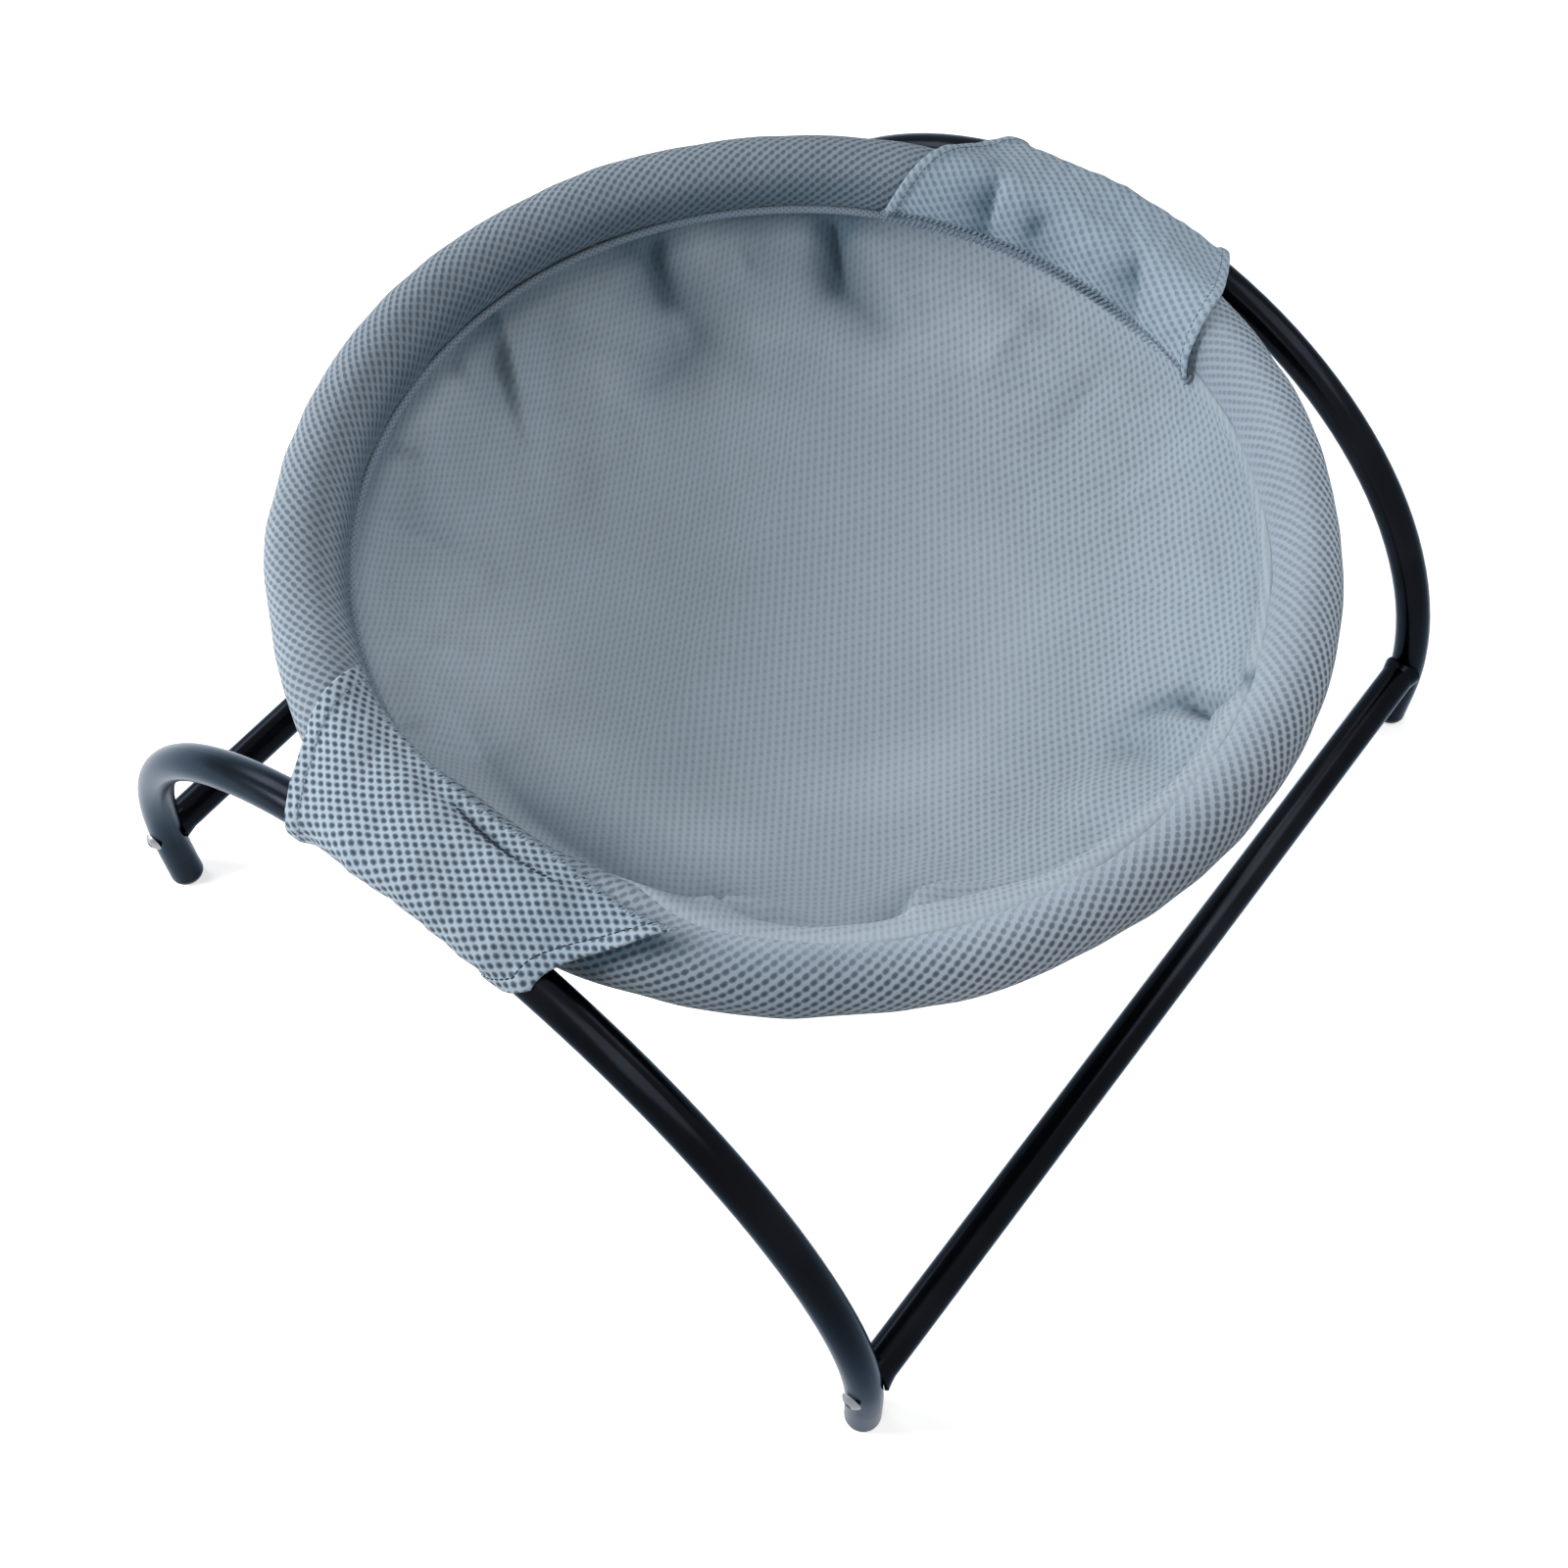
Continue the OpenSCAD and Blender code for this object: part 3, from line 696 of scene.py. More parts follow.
def rim_painted_shade(points):
    """Painted shade on the roll's inner side, in patches, in the rear pocket's dents and beside
    the front pocket's hem, and painted highlight in a negative patch.
    """
    phi, theta, _ = round_places(points)
    # painted shade on the roll's inner side
    inner = 0.52 * ramp(theta, 125, 180) * (1 - ramp(theta, 225, 250)) * spread(phi, 130, 85, 125)
    patches = sum(amount * spread(theta, *roll) * spread(phi, *bed)
                  for amount, roll, bed in RIM_PAINTED_PATCHES)
    return (inner + patches + folds(points, REAR_PAINTED_SHADES) * 0.8
            + folds(points, HEM_PAINTED_SHADOW, sharp=1.7))


def pressed(points, share, extra):
    """Lets a closed roll follow the dents of the rear pocket that lies over it."""
    normals = surface_normals(points, True, True)
    dent = folds(points, REAR_DENTS) * ramp(normals[..., 2], 0.1, 0.5)
    return points + (dent * share - extra * ramp(-dent, 0.2, 1.5))[..., None] * normals


def make_rim():
    """Cover of the padded roll: a cloth tube, sewn in along the seat and puffed by its foam."""
    n, m = 360, 44
    phi, theta, i, j = ring_grid(n, m, COVER_SEAM_DEG)
    edge = seat_edge(phi)
    under_seat = ramp(theta % 360, edge + 1, edge + 9) * (1 - ramp(theta % 360, 214, 224))
    points = roll_surface(phi, theta, ROLL_R)
    lumps = 0.35 * ripples(points, 70, 3) + 0.18 * ripples(points, 22, 4)
    seam_pull = np.exp(-(turn_between(theta, COVER_SEAM_DEG) / 9) ** 2)
    points = roll_surface(phi, theta, ROLL_R - 0.55 + lumps - 0.9 * under_seat - 0.6 * seam_pull)
    points = pressed(points, 1.15, 0.8)
    coarse = 1 - 0.11 * spread(i * 360 / n, 130, 80, 130)
    along = i * RIM_HOLES * HOLE_PITCH / n
    around = (j - m * COVER_SEAM_DEG / 360) * RIM_ROWS * ROW_PITCH / m * coarse
    lean = 0.35 * np.cos(np.radians(i * 360 / n + 50))
    weave = np.stack([along + lean * around, around], -1)
    rim = closed_skin("rim_cover_cloth", points, weave, RIM_MESH)
    held = np.maximum(np.where(seam_pull > 0.9, 1.0, 0.0), np.where(under_seat > 0.3, 0.6, 0.0))
    settle(rim, held.ravel(), pressure=3.0, cap=1.0)
    set_looks(rim, fade=rim_fade, shade=rim_painted_shade)
    smoother(rim)
    return rim


FOAM_SLACK = 1.4
FOAM_STEPS = (7.1, 3.8)     # length of the foam between two points of its grid, along and round


def make_foam():
    phi, theta, i, j = ring_grid(180, 28)
    points = pressed(roll_surface(phi, theta, ROLL_R - COVER_T - FOAM_SLACK), 1.2, 1.2)
    foam = closed_skin("foam_core", points, np.stack([i, j], -1) * FOAM_STEPS, FOAM)
    smoother(foam)
    return foam


# ---- Seat ----

INNER_R = 160.0         # inside this radius the seat is a plain bowl
LEAVES_DEG = 226        # angle round the roll at which the seat comes off it, at most
ROLL_STEPS, WALL_STEPS, BOWL_STEPS = 9, 30, 40
SEAT_FINENESS = 1.12    # how much closer the rows lie at the sewn edge


def bowl_height(r):
    return SEAM_Z - SEAT_SAG * (1 - (np.asarray(r) / SEAM_R) ** SEAT_FULLNESS)


def seat_outline(phi):
    """Section of the seat at phi, from its sewn edge to the middle, as (radius, height)."""
    edge = float(seat_edge(phi))
    leave = edge + (LEAVES_DEG - edge) * float(ramp(-edge, -186, -150))
    lie = ROLL_R - 0.2 - 1.5 * float(ramp(edge, 165, 215))
    wrap = np.radians(np.linspace(edge, leave, ROLL_STEPS))
    lie = lie + bulge(phi, np.degrees(wrap))
    roll = np.stack([RIM_R + lie * np.cos(wrap), RIM_Z + lie * np.sin(wrap)], 1)
    slope = radians(78 - 30 * (leave - 186) / 40)
    start = roll[-1]
    end = np.array([INNER_R, bowl_height(INNER_R)])
    pull = 1.1 * np.linalg.norm(end - start)
    inner_slope = SEAT_SAG * SEAT_FULLNESS * (INNER_R / SEAM_R) ** (SEAT_FULLNESS - 1) / SEAM_R
    d0 = pull * np.array([-cos(slope), -sin(slope)])
    d1 = pull * np.array([-1, -inner_slope]) / hypot(1, inner_slope)
    t = np.linspace(0, 1, WALL_STEPS)[1:, None]
    wall = ((2 * t**3 - 3 * t**2 + 1) * start + (t**3 - 2 * t**2 + t) * d0
            + (3 * t**2 - 2 * t**3) * end + (t**3 - t**2) * d1)
    r = np.linspace(INNER_R, 0, BOWL_STEPS)[1:]
    return np.concatenate([roll, wall, np.stack([r, bowl_height(r)], 1)])


def seat_grid(n, m):
    """Points of the bowl, and how far each lies from the middle along the cloth."""
    share = (np.arange(m) / (m - 1)) ** SEAT_FINENESS
    points, flats = np.zeros((n, m, 3)), np.zeros((n, m))
    for i in range(n):
        phi = i * 360 / n
        line = seat_outline(phi)
        steps = np.linalg.norm(np.diff(line, axis=0), axis=1)
        length = np.concatenate([[0], np.cumsum(steps)])
        at = share * length[-1]
        r, z = (np.interp(at, length, line[:, k])[:, None] for k in (0, 1))
        points[i], flats[i] = r * outward(phi) + z * UP, length[-1] - at
    return points, flats


# Folds of the seat: path in plan, heights along it, and how wide its left and right sides are
SEAT_FOLDS = [
    # far wall: two broad valleys below the gathers, and the pillows between them
    ([(92, 158), (87, 145), (83, 128), (69, 128), (52, 131), (34, 133)],
     (-3, -6, -9, -8, -4, 0), 15, 9),
    ([(150, 100), (143, 86), (141, 63), (136, 44)], (-4, -7, -6, 0), 8, 12),
    ([(128, 143), (121, 133), (113, 118)], (5, 5, 0), 2.5, 13),
    ([(166, 92), (159, 76), (152, 60), (144, 44)], (2, 4, 5, 0), 22, 6),
    ([(18, 191), (12, 182), (5, 174), (-3, 163), (-16, 145)], (3, 6, 6.5, 5, 0), 20, 1.8),
    ([(14, 193), (7, 183), (-1, 173), (-8, 162)], (-2, -4, -4, 0), 2.5, 8),
    ([(104, 116), (96, 104), (84, 86)], (2, 5, 0), 13, 13),
    # near edge: two hooked pillows
    ([(-168, -86), (-157, -79), (-147, -77), (-140, -82), (-135, -95), (-128, -112)],
     (3, 7, 9, 8, 5, 0), 4, 14),
    ([(-124, -148), (-112, -139), (-101, -135), (-90, -138), (-81, -145), (-64, -162)],
     (3, 8, 10, 8, 5, 0), 4, 15),
    # right: a broad dimple beside the pucker
    ([(30, -138), (20, -154), (13, -170)], (-2, -6, -2), 13, 11),
    ([(38, -150), (31, -168), (28, -184)], (0, 4, 4), 6, 6),
    ([(60, -160), (58, -174), (56, -188)], (0, 3, 3), 6, 6),
    # left and lower right, half out of sight
    ([(-98, 158), (-84, 138), (-70, 112)], (-3, -6, 0), 8, 12),
    ([(-140, 112), (-126, 96), (-104, 78)], (2, 4, 0), 12, 8),
    ([(-166, 62), (-150, 52), (-124, 44)], (-3, -5, 0), 7, 10),
    ([(168, -40), (152, -38), (126, -36)], (-2, -5, 0), 8, 11),
    ([(142, -96), (128, -88), (108, -78)], (2, 4, 0), 13, 9),
    ([(176, 6), (158, 8), (134, 8)], (2, 4, 0), 9, 9),
]
# Gathers: sharp creases that run into the seam
SEAT_GATHERS = [
    ([(99, 170), (90, 157), (86, 149), (82, 140)], (-9, -9, -5, 0), 4.0, 4.5),
    ([(161, 110), (151, 101), (144, 93), (139, 84)], (-9, -10, -6, 0), 4.5, 5.0),
    ([(30, -139), (38, -150), (48, -162), (44, -171), (39, -182), (41, -192)],
     (0, -2, -6, -9, -8, 0), 4.0, 5.0),
    ([(-12, 192), (-16, 184), (-22, 175)], (-3, -4, 0), 3.0, 6.0),
    ([(-70, 178), (-66, 168), (-60, 156)], (-4, -4, 0), 3.5, 5.0),
    ([(-172, 80), (-163, 76), (-150, 70)], (-3, -4, 0), 4.0, 5.0),
]
# Painted shade in the seat's creases and along its walls, and painted highlight on pillows and ridges
# where the amount is negative
SEAT_PAINTED_SHADES = [
    # far wall: painted shadow in the creases, and painted highlight on the pillows
    ([(18, 191), (12, 182), (5, 174), (-3, 165), (-10, 156)], (0.25, 0.3, 0.3, 0.2, 0), 1.2, 10),
    ([(98, 169), (90, 157), (86, 150)], (0.5, 0.42, 0.28), 6, 13),
    ([(86, 150), (89, 137), (83, 128), (69, 129), (52, 131), (34, 133)],
     (0.24, 0.24, 0.3, 0.3, 0.24, 0), 11, 9),
    ([(160, 108), (150, 100), (142, 93)], (0.5, 0.42, 0.28), 11, 9),
    ([(142, 93), (143, 79), (141, 63), (139, 51)], (0.28, 0.22, 0.12, 0), 11, 9),
    ([(130, 128), (122, 118)], (0.12, 0.1), 9, 9),
    ([(112, 150), (106, 138), (100, 126)], (-0.16, -0.14, 0), 10, 10),
    ([(52, 168), (40, 150), (26, 132)], (-0.05, -0.08, 0), 14, 14),
    ([(164, 60), (154, 40), (140, 20)], (-0.05, -0.07, 0), 22, 22),
    ([(-26, 178), (-46, 174), (-66, 160)], (-0.16, -0.18, -0.05), 13, 13),
    # right: painted shadow in the pucker and its dimple
    ([(34, -146), (47, -160), (44, -170), (39, -182), (40, -190)], (0.1, 0.4, 0.6, 0.65, 0.4), 4, 5.5),
    ([(24, -148), (19, -160), (12, -172)], (0.08, 0.18, 0.08), 12, 12),
    # left: painted shade on the wall below the front pocket
    ([(-150, 40), (-157, 13), (-157, -15), (-160, -44), (-164, -72), (-168, -88)],
     (0.3, 0.57, 0.6, 0.57, 0.4, 0.1), 24, 8),
    # near edge: painted shade outside the two hooked pillows, and painted highlight along them
    ([(-160, -72), (-150, -67), (-141, -68), (-133, -76)], (0.2, 0.28, 0.24, 0.05), 8, 3),
    ([(-162, -80), (-154, -75), (-144, -75), (-139, -80), (-135, -92)],
     (-0.08, -0.2, -0.22, -0.14, 0), 2, 6),
    ([(-118, -134), (-106, -128), (-94, -127), (-82, -132)], (0.17, 0.24, 0.2, 0.05), 9, 3),
    ([(-121, -142), (-108, -136), (-97, -134), (-86, -136), (-79, -142)],
     (-0.08, -0.16, -0.16, -0.1, 0), 2, 6),
]


def seat_fade(points):
    phi, theta, r = round_places(points)
    far = ramp(points[:, 1] - 0.3 * points[:, 0], -20, 90)
    fade = 0.64 - 0.42 * spread(phi, -60, 40, 80) * ramp(r, 90, 140) + 0.08 * far
    return 1 - (1 - fade) * (1 - seam_welt(phi, theta) * ramp(r, 178, 184))


def seat_painted_shade(points):
    """Painted shade at the top of the far and left wall under the roll and on the right, and
    painted highlight on the near-right welt, the left wall and the near floor.
    """
    phi, _, r = round_places(points)
    # welt, left and near are painted highlight, right and top painted shade
    welt = 0.04 * ramp(r, 183, 190) * spread(phi, -70, 35, 60)
    left = 0.16 * spread(phi, 165, 25, 50) * ramp(r, 90, 130)
    near = 0.1 * spread(phi, -135, 20, 50) * ramp(r, 50, 90) * (1 - ramp(r, 120, 150))
    right = 0.07 * spread(phi, -70, 50, 85) * ramp(r, 80, 120)
    top = 0.15 * ramp(r, 140, 178) + 0.25 * ramp(r, 181, 188)
    return top * spread(phi, 95, 60, 95) + folds(points, SEAT_PAINTED_SHADES) - welt - left - near + right


SEAT_T = 1.0
SEAT_SLACK = (0.05, 0.35)       # how much looser the far cloth lies, across and along the bed


def make_seat():
    n, m = 480, 88
    points, flat_r = seat_grid(n, m)
    normals = surface_normals(points, closed_along=True)
    centre_r = np.hypot(points[..., 0], points[..., 1])
    from_seam = flat_r.max(1, keepdims=True) - flat_r
    near_rim = ramp(centre_r, 70, 150)
    lift = (folds(points, SEAT_FOLDS) + 0.5 * ripples(points, 90, 13) * (1 - near_rim)
            + near_rim * (1.1 * ripples(points, 60, 11) + 0.45 * ripples(points, 20, 12)))
    creases = folds(points, SEAT_GATHERS, sharp=1.7)
    lift = lift * ramp(from_seam, 8, 26) + creases * ramp(from_seam, 3, 12)
    turn = np.arange(n)[:, None] * 360 / n
    lift = lift + 0.9 * np.exp(-((from_seam - 6) / 4) ** 2) * spread(turn, -60, 40, 70)   # a welt
    lift = lift - 1.2 * (1 - ramp(from_seam, 0, 2.5))       # the edge is tucked in
    points = points + lift[..., None] * normals
    phi = np.radians(np.arange(n + 1) * 360 / n)[:, None]
    flat_r = np.concatenate([flat_r, flat_r[:1]])
    weave = np.stack([flat_r * np.cos(phi), flat_r * np.sin(phi)], -1)
    slack = np.maximum(0, weave[..., 1] - 0.3 * weave[..., 0] - 40)     # unstretched far cloth
    weave = weave + slack[..., None] * SEAT_SLACK
    seat = thick_sheet("seat_cloth", points, SEAT_T, weave, SEAT_MESH, closed_along=True, centre=True)
    set_looks(seat, fade=seat_fade, shade=seat_painted_shade)
    return seat


PIPING_DEG = 206.0
PIPING_OUT = ROLL_R + 1.3
PIPING_SUNK = 5.4           # where the seat runs over it
PIPING_R = 1.9
TWIST, TWIST_TURNS = 0.12, 300
PIPING_STEP = 0.94          # flat width between two points of its section
SEAM_LINE_R = 187


def make_piping():
    """Thin corded piping in the seam between roll and seat."""
    n, m = 720, 10
    phi, turn, i, j = ring_grid(n, m)
    out = PIPING_OUT - PIPING_SUNK * (1 - ramp(seat_edge(phi), 190, 215))
    seam, around = radians(PIPING_DEG), np.radians(turn)
    tube = PIPING_R + TWIST * np.sin(np.radians(phi * TWIST_TURNS + turn))
    r = RIM_R + out * cos(seam) + tube * np.cos(around)
    z = RIM_Z + out * sin(seam) + tube * np.sin(around)
    weave = np.stack([i * 2 * np.pi * SEAM_LINE_R / n, j * PIPING_STEP], -1)
    points = r[..., None] * outward(phi) + z[..., None] * UP
    return closed_skin("seat_piping_cord", points, weave, PIPING)


# ---- Pockets ----

BELT_STEPS = 24
MOST_PHI = 35           # a pocket's sections are worked out up to this angle on both sides
HEM_FINENESS = 1.25
FLAT_R = 205.0          # radius at which a bent belt is as long as its cloth
POCKET_SHEET_T = 1.1
HEM_SEAM_IN = 0.9       # the hem's seam runs inside the hem's width by this
EDGE_ROUND = 1.3
EDGE_ROW = 0.6          # the overlocked seams run between the first two rows and the last two


def belt_outline(phi, seam, side):
    """Section of a pocket at phi round roll and arch, as (radius, height) from the roll's core."""
    turned = phi if side > 0 else 180 - phi
    y = ARCH_X * tan(radians(phi))
    arch = np.array([ARCH_X / cos(radians(phi)) - RIM_R, ARCH_Z + sqrt(ARCH_R**2 - y**2) - RIM_Z])
    wrap = TUBE_R / cos(radians(phi)) / sqrt(1 - (y / ARCH_R) ** 2) + CLOTH_GAP
    roll = ROLL_R + CLOTH_GAP
    turn = degrees(atan2(arch[1], arch[0]))
    apart = degrees(acos((roll - wrap) / np.linalg.norm(arch)))

    def arc(centre, r, start, stop):
        angles = np.linspace(start, stop, BELT_STEPS)
        a = np.radians(angles)
        if not centre.any():
            r = (r + bulge(turned, angles))[:, None]
        return centre + r * np.stack([np.cos(a), np.sin(a)], 1)

    middle = np.zeros(2)
    return np.concatenate([arc(middle, roll, seam, turn + apart),
                           arc(arch, wrap, turn + apart, turn - apart),
                           arc(middle, roll, turn - apart, POCKET_LOWER_DEG - 360)])


def pocket_grid(kind, n, m):
    """Points of a pocket's inner face. It narrows from the inner seam to the arch's top.

    early says how soon the first and the last column have narrowed. 1 is evenly. cut is how far
    the inner seam comes up over the roll at the first column.
    """
    inner = degrees(asin(POCKET_INNER_W / 2 / (RIM_R - ROLL_R)))
    outer = degrees(atan(POCKET_OUTER_W / 2 / ARCH_X))
    shift = degrees(atan(kind["slide"] / ARCH_X))
    early = kind["early"]
    sections = np.array([belt_outline(deg, kind["seam"], kind["side"])
                         for deg in range(-MOST_PHI, MOST_PHI + 1)])

    def section(phi):
        k = int(phi + MOST_PHI)
        t = phi + MOST_PHI - k
        line = sections[k] * (1 - t) + sections[k + 1] * t
        steps = np.linalg.norm(np.diff(line, axis=0), axis=1)
        return np.concatenate([[0], np.cumsum(steps)]), line

    at, _ = section(0)
    to_top = at[BELT_STEPS] / at[-1]
    rows = np.arange(m) / (m - 1)
    passed = rows / to_top
    share = np.linspace(-1, 1, n)
    share = np.sign(share) * (1 - (1 - np.abs(share)) ** HEM_FINENESS)
    cut = kind["cut"] * ramp(-share, 0.3, 1.0)
    points, length, weave = np.zeros((n, m, 3)), np.zeros((n, m)), np.zeros((n, m, 2))
    for i in range(n):
        power = early[0] + (early[1] - early[0]) * (share[i] + 1) / 2
        near = np.where(passed < 1, 1 - np.clip(1 - passed, 0, 1) ** power,
                        np.minimum(passed, POCKET_TAPER))
        reach = kind["reach"] if share[i] < 0 else 1.0
        for j in range(m):
            phi = share[i] * (inner * reach + (outer - inner * reach) * near[j]) + shift * near[j]
            at, line = section(phi)
            place = cut[i] + rows[j] * (at[-1] - cut[i])
            r = RIM_R + np.interp(place, at, line[:, 0])
            z = RIM_Z + np.interp(place, at, line[:, 1])
            a = radians(phi)
            points[i, j] = kind["side"] * r * cos(a), r * sin(a), z
            length[i, j] = place
            # the cloth lies straight across, while the roll bends away below it
            bent = kind["bent"] * float(ramp(phi, 0, 10))
            along = (1 - bent) * r * sin(a) + bent * FLAT_R * a
            down = place - (1 - bent) * RIM_R * (1 - cos(a))
            weave[i, j] = along / kind["gauge"], down / kind["pitch"]
    if kind["side"] > 0:
        points, length, weave, cut = points[::-1], length[::-1], weave[::-1], cut[::-1]
    return points, length, weave, cut[:, None]


def make_pocket(name, kind, material):
    n, m = 110, 84
    inner, length, weave, cut = pocket_grid(kind, n, m)
    normals = surface_normals(inner)
    steps = np.linalg.norm(np.diff(inner, axis=0), axis=-1)
    width = steps.sum(0)
    across = np.concatenate([np.zeros((1, m)), np.cumsum(steps, 0)])
    from_edge = np.minimum(across, width - across)
    hem_w = kind["hem_w"]
    hem = 1 - ramp(from_edge, hem_w - 0.8, hem_w + 0.6)
    groove = np.exp(-((from_edge - hem_w + HEM_SEAM_IN) / 0.7) ** 2)
    inwards = np.clip(from_edge / EDGE_ROUND, 0, 1)
    round_off = 1 - np.sqrt(np.clip(1 - (1 - inwards) ** 2, 0, 1))
    top = ramp(normals[..., 2], 0.1, 0.5)
    lift = (folds(inner, kind["dents"]) * top + 0.3 * ripples(inner, 30, 21 + kind["side"])
            + 0.15 * ripples(inner, 9, 31 + kind["side"]))
    flare = kind["flare"] * (1 - ramp(across, 0, 10)) * (1 - ramp(length, 26, 38))
    out = POCKET_T + kind["hem_lift"] * hem - 0.7 * groove - 1.0 * round_off
    out = out + (lift + flare) * ramp(length - cut, 0, 5)
    outer = inner + out[..., None] * normals
    pocket = thick_sheet(name, outer, POCKET_SHEET_T, weave, material)
    # painted shade and highlight from the pocket's list
    set_looks(pocket, fade=lambda p: kind["fade"], shade=lambda p: folds(p, kind["painted_shades"]))
    return pocket, lock_runs(outer), hem_runs(outer, across, width, hem_w - HEM_SEAM_IN)


def hem_runs(outer, across, width, want):
    """Paths of the two hem seams of a pocket."""
    normals = surface_normals(outer)
    n, m = outer.shape[:2]
    j = np.arange(m)
    runs = []
    for wanted in (np.full(m, want), width - want):
        i = [np.interp(wanted[k], across[:, k], np.arange(n)) for k in j]
        runs.append((on_grid(outer, i, j), on_grid(normals, i, j)))
    return runs


def lock_runs(outer):
    """Paths of the overlocked seams along a pocket's first and last row."""
    normals = surface_normals(outer)
    n, m = outer.shape[:2]
    return [(on_grid(outer, np.arange(n), row), on_grid(normals, np.arange(n), row))
            for row in (EDGE_ROW, m - 1 - EDGE_ROW)]


def ring_run(phi, theta, out, facing=None):
    """Path over the roll through places given as phi and theta. facing turns the stitches."""
    k = np.linspace(0, len(phi) - 1, 80)
    away = outward(np.interp(k, np.arange(len(phi)), phi))
    t = np.radians(np.interp(k, np.arange(len(phi)), theta))[:, None]
    up = np.cos(t) * away + np.sin(t) * UP
    points = RIM_R * away + RIM_Z * UP + out * up
    if facing is not None:
        up = cos(facing) * away + sin(facing) * UP
    return points, up


REAR_DENTS = [
    ([(197, 43), (190, 39), (184, 37), (178, 35)], (0, -4.5, -5.0, -2), 1.8, 11),
    ([(194, 22), (189, 16), (185, 10)], (0, -3.5, 0), 6, 6),
    ([(197, -31), (190, -37), (183, -43)], (0, -3.5, -1), 1.8, 9),
    ([(206, 10), (208, -12), (204, -34)], (0, -1.5, 0), 10, 10),
]
# Darker over the whole rear pocket, and painted shadow in its three dents; the rim under it gets them
# too
REAR_PAINTED_SHADES = [
    ([(215, 70), (215, -70)], (0.19, 0.19), 90, 90),
    ([(196, 43), (188, 39), (181, 36)], (0.25, 0.6, 0.6), 1.4, 13),
    ([(192, 20), (189, 16), (186, 11)], (0.2, 0.6, 0.3), 7, 7),
    ([(196, -32), (190, -37), (184, -42)], (0.2, 0.5, 0.35), 1.4, 11),
]
FRONT_CREASE = [(-192, 13), (-194, 3), (-195, -8), (-196, -18), (-195, -30)]
FRONT_DENTS = [
    (FRONT_CREASE, (-0.8, -1.3, -1.3, -1.3, -0.4), 1.8, 1.8),
    ([(-206, 62), (-200, 48), (-196, 34)], (0, -2, 0), 8, 8),
    ([(-212, 10), (-213, -10), (-210, -30)], (0, -1.4, 0), 9, 9),
    ([(-200, -40), (-196, -52), (-190, -62)], (0, -1.6, 0), 6, 9),
]
# Painted shadow in the front pocket's crease and on its right part, and painted highlight on its left
# part
FRONT_PAINTED_SHADES = [
    (FRONT_CREASE, (0.3, 0.45, 0.45, 0.4, 0.1), 1.6, 1.2),
    ([(-192, -48), (-208, -60)], (0.18, 0.2), 20, 20),
    ([(-215, 60), (-212, 10)], (-0.05, -0.05), 25, 25),
]
FRONT = {"side": -1, "seam": 138, "slide": 8, "early": (1.9, 1.0), "reach": 0.94, "cut": 13.8,
         "hem_w": 8.5, "hem_lift": 1.0, "flare": 2.6, "gauge": 1.0, "pitch": 0.95, "fade": 0.14,
         "bent": 0.65, "dents": FRONT_DENTS, "painted_shades": FRONT_PAINTED_SHADES}
REAR = {"side": 1, "seam": 194, "slide": -2, "early": (1.0, 1.0), "reach": 1.0, "cut": 0.0,
        "hem_w": 5.5, "hem_lift": 1.7, "flare": 0.0, "gauge": 1.06, "pitch": 1.06, "fade": 0.7,
        "bent": 0.0, "dents": REAR_DENTS, "painted_shades": REAR_PAINTED_SHADES}


# ---- Surroundings ----

FLOOR_HALF = 4                          # metres
FLOOR_GLOW = (0.7, 1.8, 0.6, 0.9)       # from and to in metres, and the glow there
AMBIENT = 0.09
# Soft boxes: name, angle round the bed, angle of height, distance and side in metres, watts
LAMPS = [
    ("far_box", 90, 20, 1.2, 0.5, 4.8),
    ("left_box", 135, 20, 1.2, 0.5, 11.6),
    ("right_box", 20, 50, 1.2, 0.5, 3.2),
    ("front_box", 225, 35, 0.45, 0.25, 0.6),
    ("near_box", 315, 35, 0.45, 0.25, 0.63),
]
AIM = Vector((0, 0, 0.2))


def background_rays(tree):
    """1 for the rays that see the pale background, straight or in a gloss, and 0 for the rest."""
    rays = tree.nodes.new("ShaderNodeLightPath").outputs
    total = rays["Is Camera Ray"]
    for kind in ("Is Glossy Ray", "Is Transmission Ray"):
        total = add_node(tree, "ShaderNodeMath", total, rays[kind], operation="ADD", use_clamp=True)
    return total


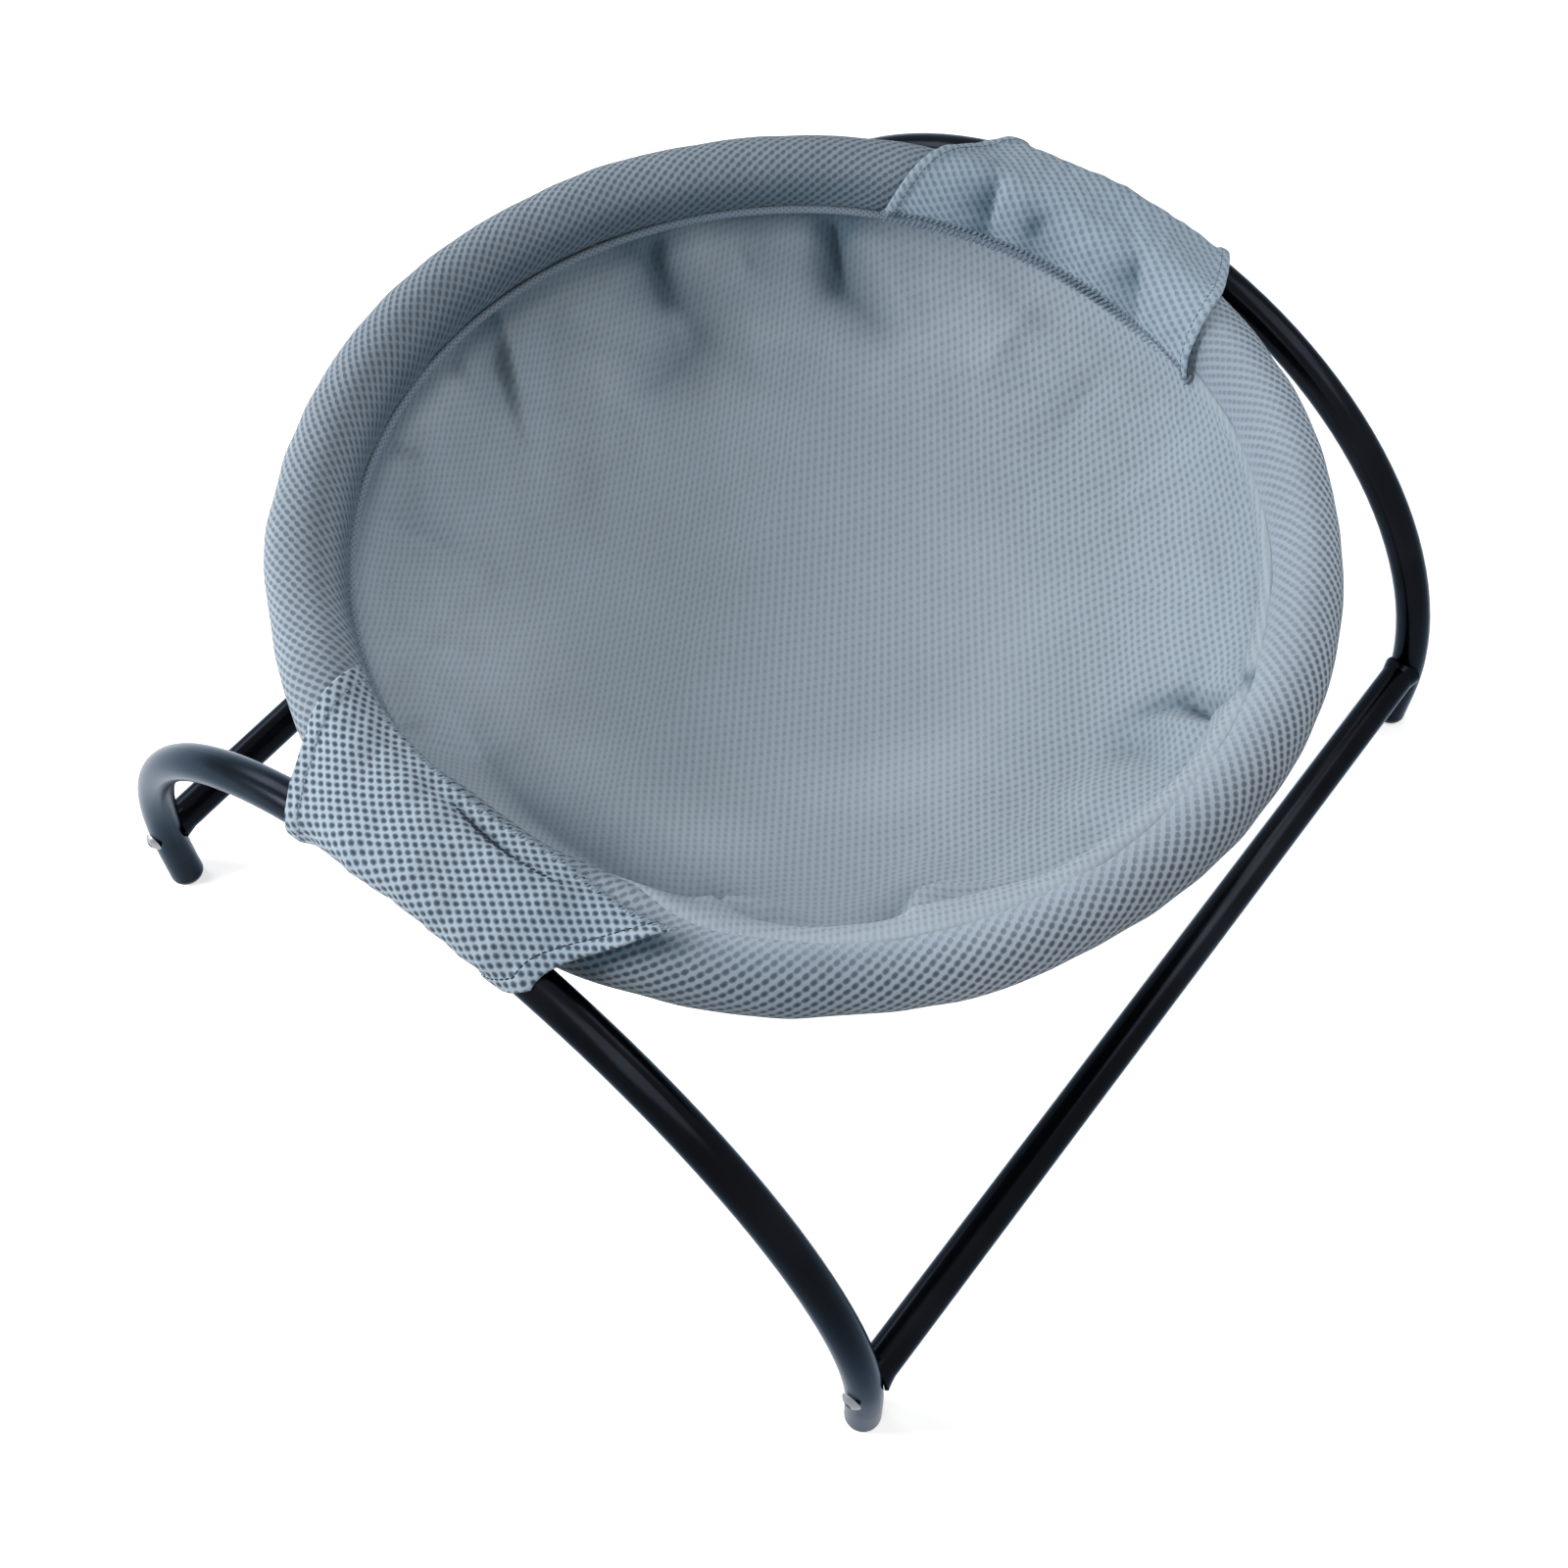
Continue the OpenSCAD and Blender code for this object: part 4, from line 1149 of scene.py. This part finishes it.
def make_surroundings():
    mesh = bpy.data.meshes.new("floor")
    corners = [(x * FLOOR_HALF, y * FLOOR_HALF, 0) for x, y in ((-1, -1), (1, -1), (1, 1), (-1, 1))]
    mesh.from_pydata(corners, [], [(0, 1, 2, 3)])
    shader = Shader("floor_paint")
    shader.finish(Base_Color=(0.93, 0.93, 0.93, 1), Roughness=0.9, Specular_IOR_Level=0.1)
    # the object's shadow shows near it, and the lamps don't reach the floor farther out
    lift = shader.between(shader.vector("LENGTH", shader.object_place()), *FLOOR_GLOW)
    strength = shader.math("MULTIPLY", background_rays(shader.tree), lift)
    glow = shader.add("ShaderNodeEmission", named={"Strength": strength})
    lifted = shader.add("ShaderNodeAddShader", shader.surface.outputs[0], glow)
    fill(shader.tree, shader.tree.nodes["Material Output"].inputs["Surface"], lifted)
    add_piece("floor", mesh, shader.material)

    world = bpy.data.worlds.new("room")
    scene.world = world
    world.use_nodes = True
    tree = world.node_tree
    back = tree.nodes["Background"].inputs
    back["Color"].default_value = (1, 1, 1, 1)
    fill(tree, back["Strength"], add_node(tree, "ShaderNodeMapRange", named={
        "Value": background_rays(tree), "To Min": AMBIENT, "To Max": 1.0}))

    for name, azimuth, height, away, size, power in LAMPS:
        data = bpy.data.lights.new(name, "AREA")
        data.size, data.energy = size, power
        lamp = bpy.data.objects.new(name, data)
        out = Vector(cos(radians(height)) * outward(azimuth) + sin(radians(height)) * UP)
        lamp.location = AIM + out * away
        lamp.rotation_mode = "QUATERNION"
        lamp.rotation_quaternion = (-out).to_track_quat("-Z", "Y")
        lamp.visible_camera = False
        scene.collection.objects.link(lamp)


# ---- Everything together ----

make_camera()

SEAT_ROWS = ((-0.184, 0.249), (0.143, 0.183))
PIPING_ROWS = ((1 / 3, 1 / 1.9), (-1 / 3, 1 / 1.9))
# Each cloth's second colour is its yarn in painted shade at a hole's edge, and its third the holes,
# partly inner layer and partly painted shade
RIM_MESH = mesh_cloth("rim_mesh", AIR_ROWS, 0.9, (159, 172, 185), (106, 121, 136), (26, 38, 53),
                      shape=(1.3, 0.82), slant=37.6, soft=0.7)
POCKET_MESH = mesh_cloth("pocket_mesh", AIR_ROWS, 0.85, (172, 189, 204), (128, 146, 163),
                         (34, 48, 66), shape=(1.15, 0.9), soft=0.6)
REAR_MESH = mesh_cloth("rear_mesh", AIR_ROWS, 0.8, (172, 189, 204), (136, 154, 171),
                       (34, 48, 66), shape=(1.35, 0.78), slant=37.6, soft=0.7)
SEAT_MESH = mesh_cloth("seat_mesh", SEAT_ROWS, 0.8, (161, 174, 185), (150, 164, 176),
                       (126, 141, 155), soft=0.85, ribs=0.07, depth=0.35)
PIPING = mesh_cloth("piping_cloth", PIPING_ROWS, 0.3, (150, 164, 177), (122, 138, 152),
                    (86, 102, 118), soft=0.3, depth=0.4)
THREAD_DARK = twisted_thread("thread_dark", (50, 64, 80), (26, 36, 50))
THREAD_MIXED = twisted_thread("thread_mixed", (112, 128, 144), (66, 81, 98))
THREAD_PALE = twisted_thread("thread_pale", (160, 177, 192), (122, 140, 156))
THREAD_LIGHT = twisted_thread("thread_light", (146, 162, 177), (92, 109, 126))
TUBE_PAINT, ZINC, PLASTIC, FOAM = tube_paint(), zinc_plate(), moulded_plastic(), foam_skin()

for names, material in (
        (("front_arch", "rear_arch", "near_rail", "far_rail"), TUBE_PAINT),
        (("rail_inserts", "frame_bolts", "rim_hoop", "hoop_ferrule"), ZINC),
        (("foot_plugs",), PLASTIC)):
    for name in names:
        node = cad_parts[name]
        node.data.materials.clear()
        node.data.materials.append(material)

foam = make_foam()
rim = make_rim()
seat = make_seat()
piping = make_piping()
front, front_edges, front_sides = make_pocket("front_pocket_cloth", FRONT, POCKET_MESH)
rear, rear_edges, rear_sides = make_pocket("rear_pocket_cloth", REAR, REAR_MESH)
front_seam_path = ring_run((172, 176, 179, 182, 185, 189, 192),
                           (131, 125, 120, 115, 111, 109, 108), 18.5)
rope_path = ring_run((-26, 26), (203, 203), 18.8, radians(150))
# Paths and thread, then pitch, length, thickness and height, and slant
SEAMS = {
    "front_hem_stitches": (front_sides[:1], THREAD_DARK, 2.4, 2.0, 0.7, 0.5, 0),
    "front_far_hem_stitches": (front_sides[1:], THREAD_PALE, 2.4, 2.0, 0.6, 0.5, 0),
    "rear_hem_stitches": (rear_sides, THREAD_MIXED, 2.6, 2.0, 0.6, 0.4, 0),
    "front_overlock": (front_edges, THREAD_PALE, 2.3, 3.6, 0.7, 0.8, 62),
    "rear_overlock": (rear_edges, THREAD_LIGHT, 2.6, 5.4, 1.3, 1.7, 58),
    "front_seam_stitches": ([front_seam_path], THREAD_DARK, 2.4, 2.4, 0.9, 0.9, 30),
    "rear_seam_rope": ([rope_path], THREAD_LIGHT, 2.6, 6.5, 1.5, 1.9, 58),
}
front_hems, far_hem, rear_hems, front_lock, rear_lock, front_seam, rear_rope = (
    stitches(name, *seam) for name, seam in SEAMS.items())

make_surroundings()

for piece, node, slot in (
        (foam, "foam_roll", "foam"), (rim, "rim_cover", "air_mesh"),
        (seat, "seat_panel", "seat_mesh"), (piping, "seat_piping", "seat_mesh"),
        (front, "front_pocket", "air_mesh"), (rear, "rear_pocket", "air_mesh"),
        (front_lock, "front_pocket_seams", "thread"), (rear_lock, "rear_pocket_seams", "thread"),
        (front_hems, None, "thread"), (rear_hems, None, "thread"),
        (far_hem, None, "thread"), (front_seam, None, "thread"), (rear_rope, None, "thread")):
    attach(piece, "root")
    if node:
        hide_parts(node)

scene.view_settings.view_transform = "Standard"
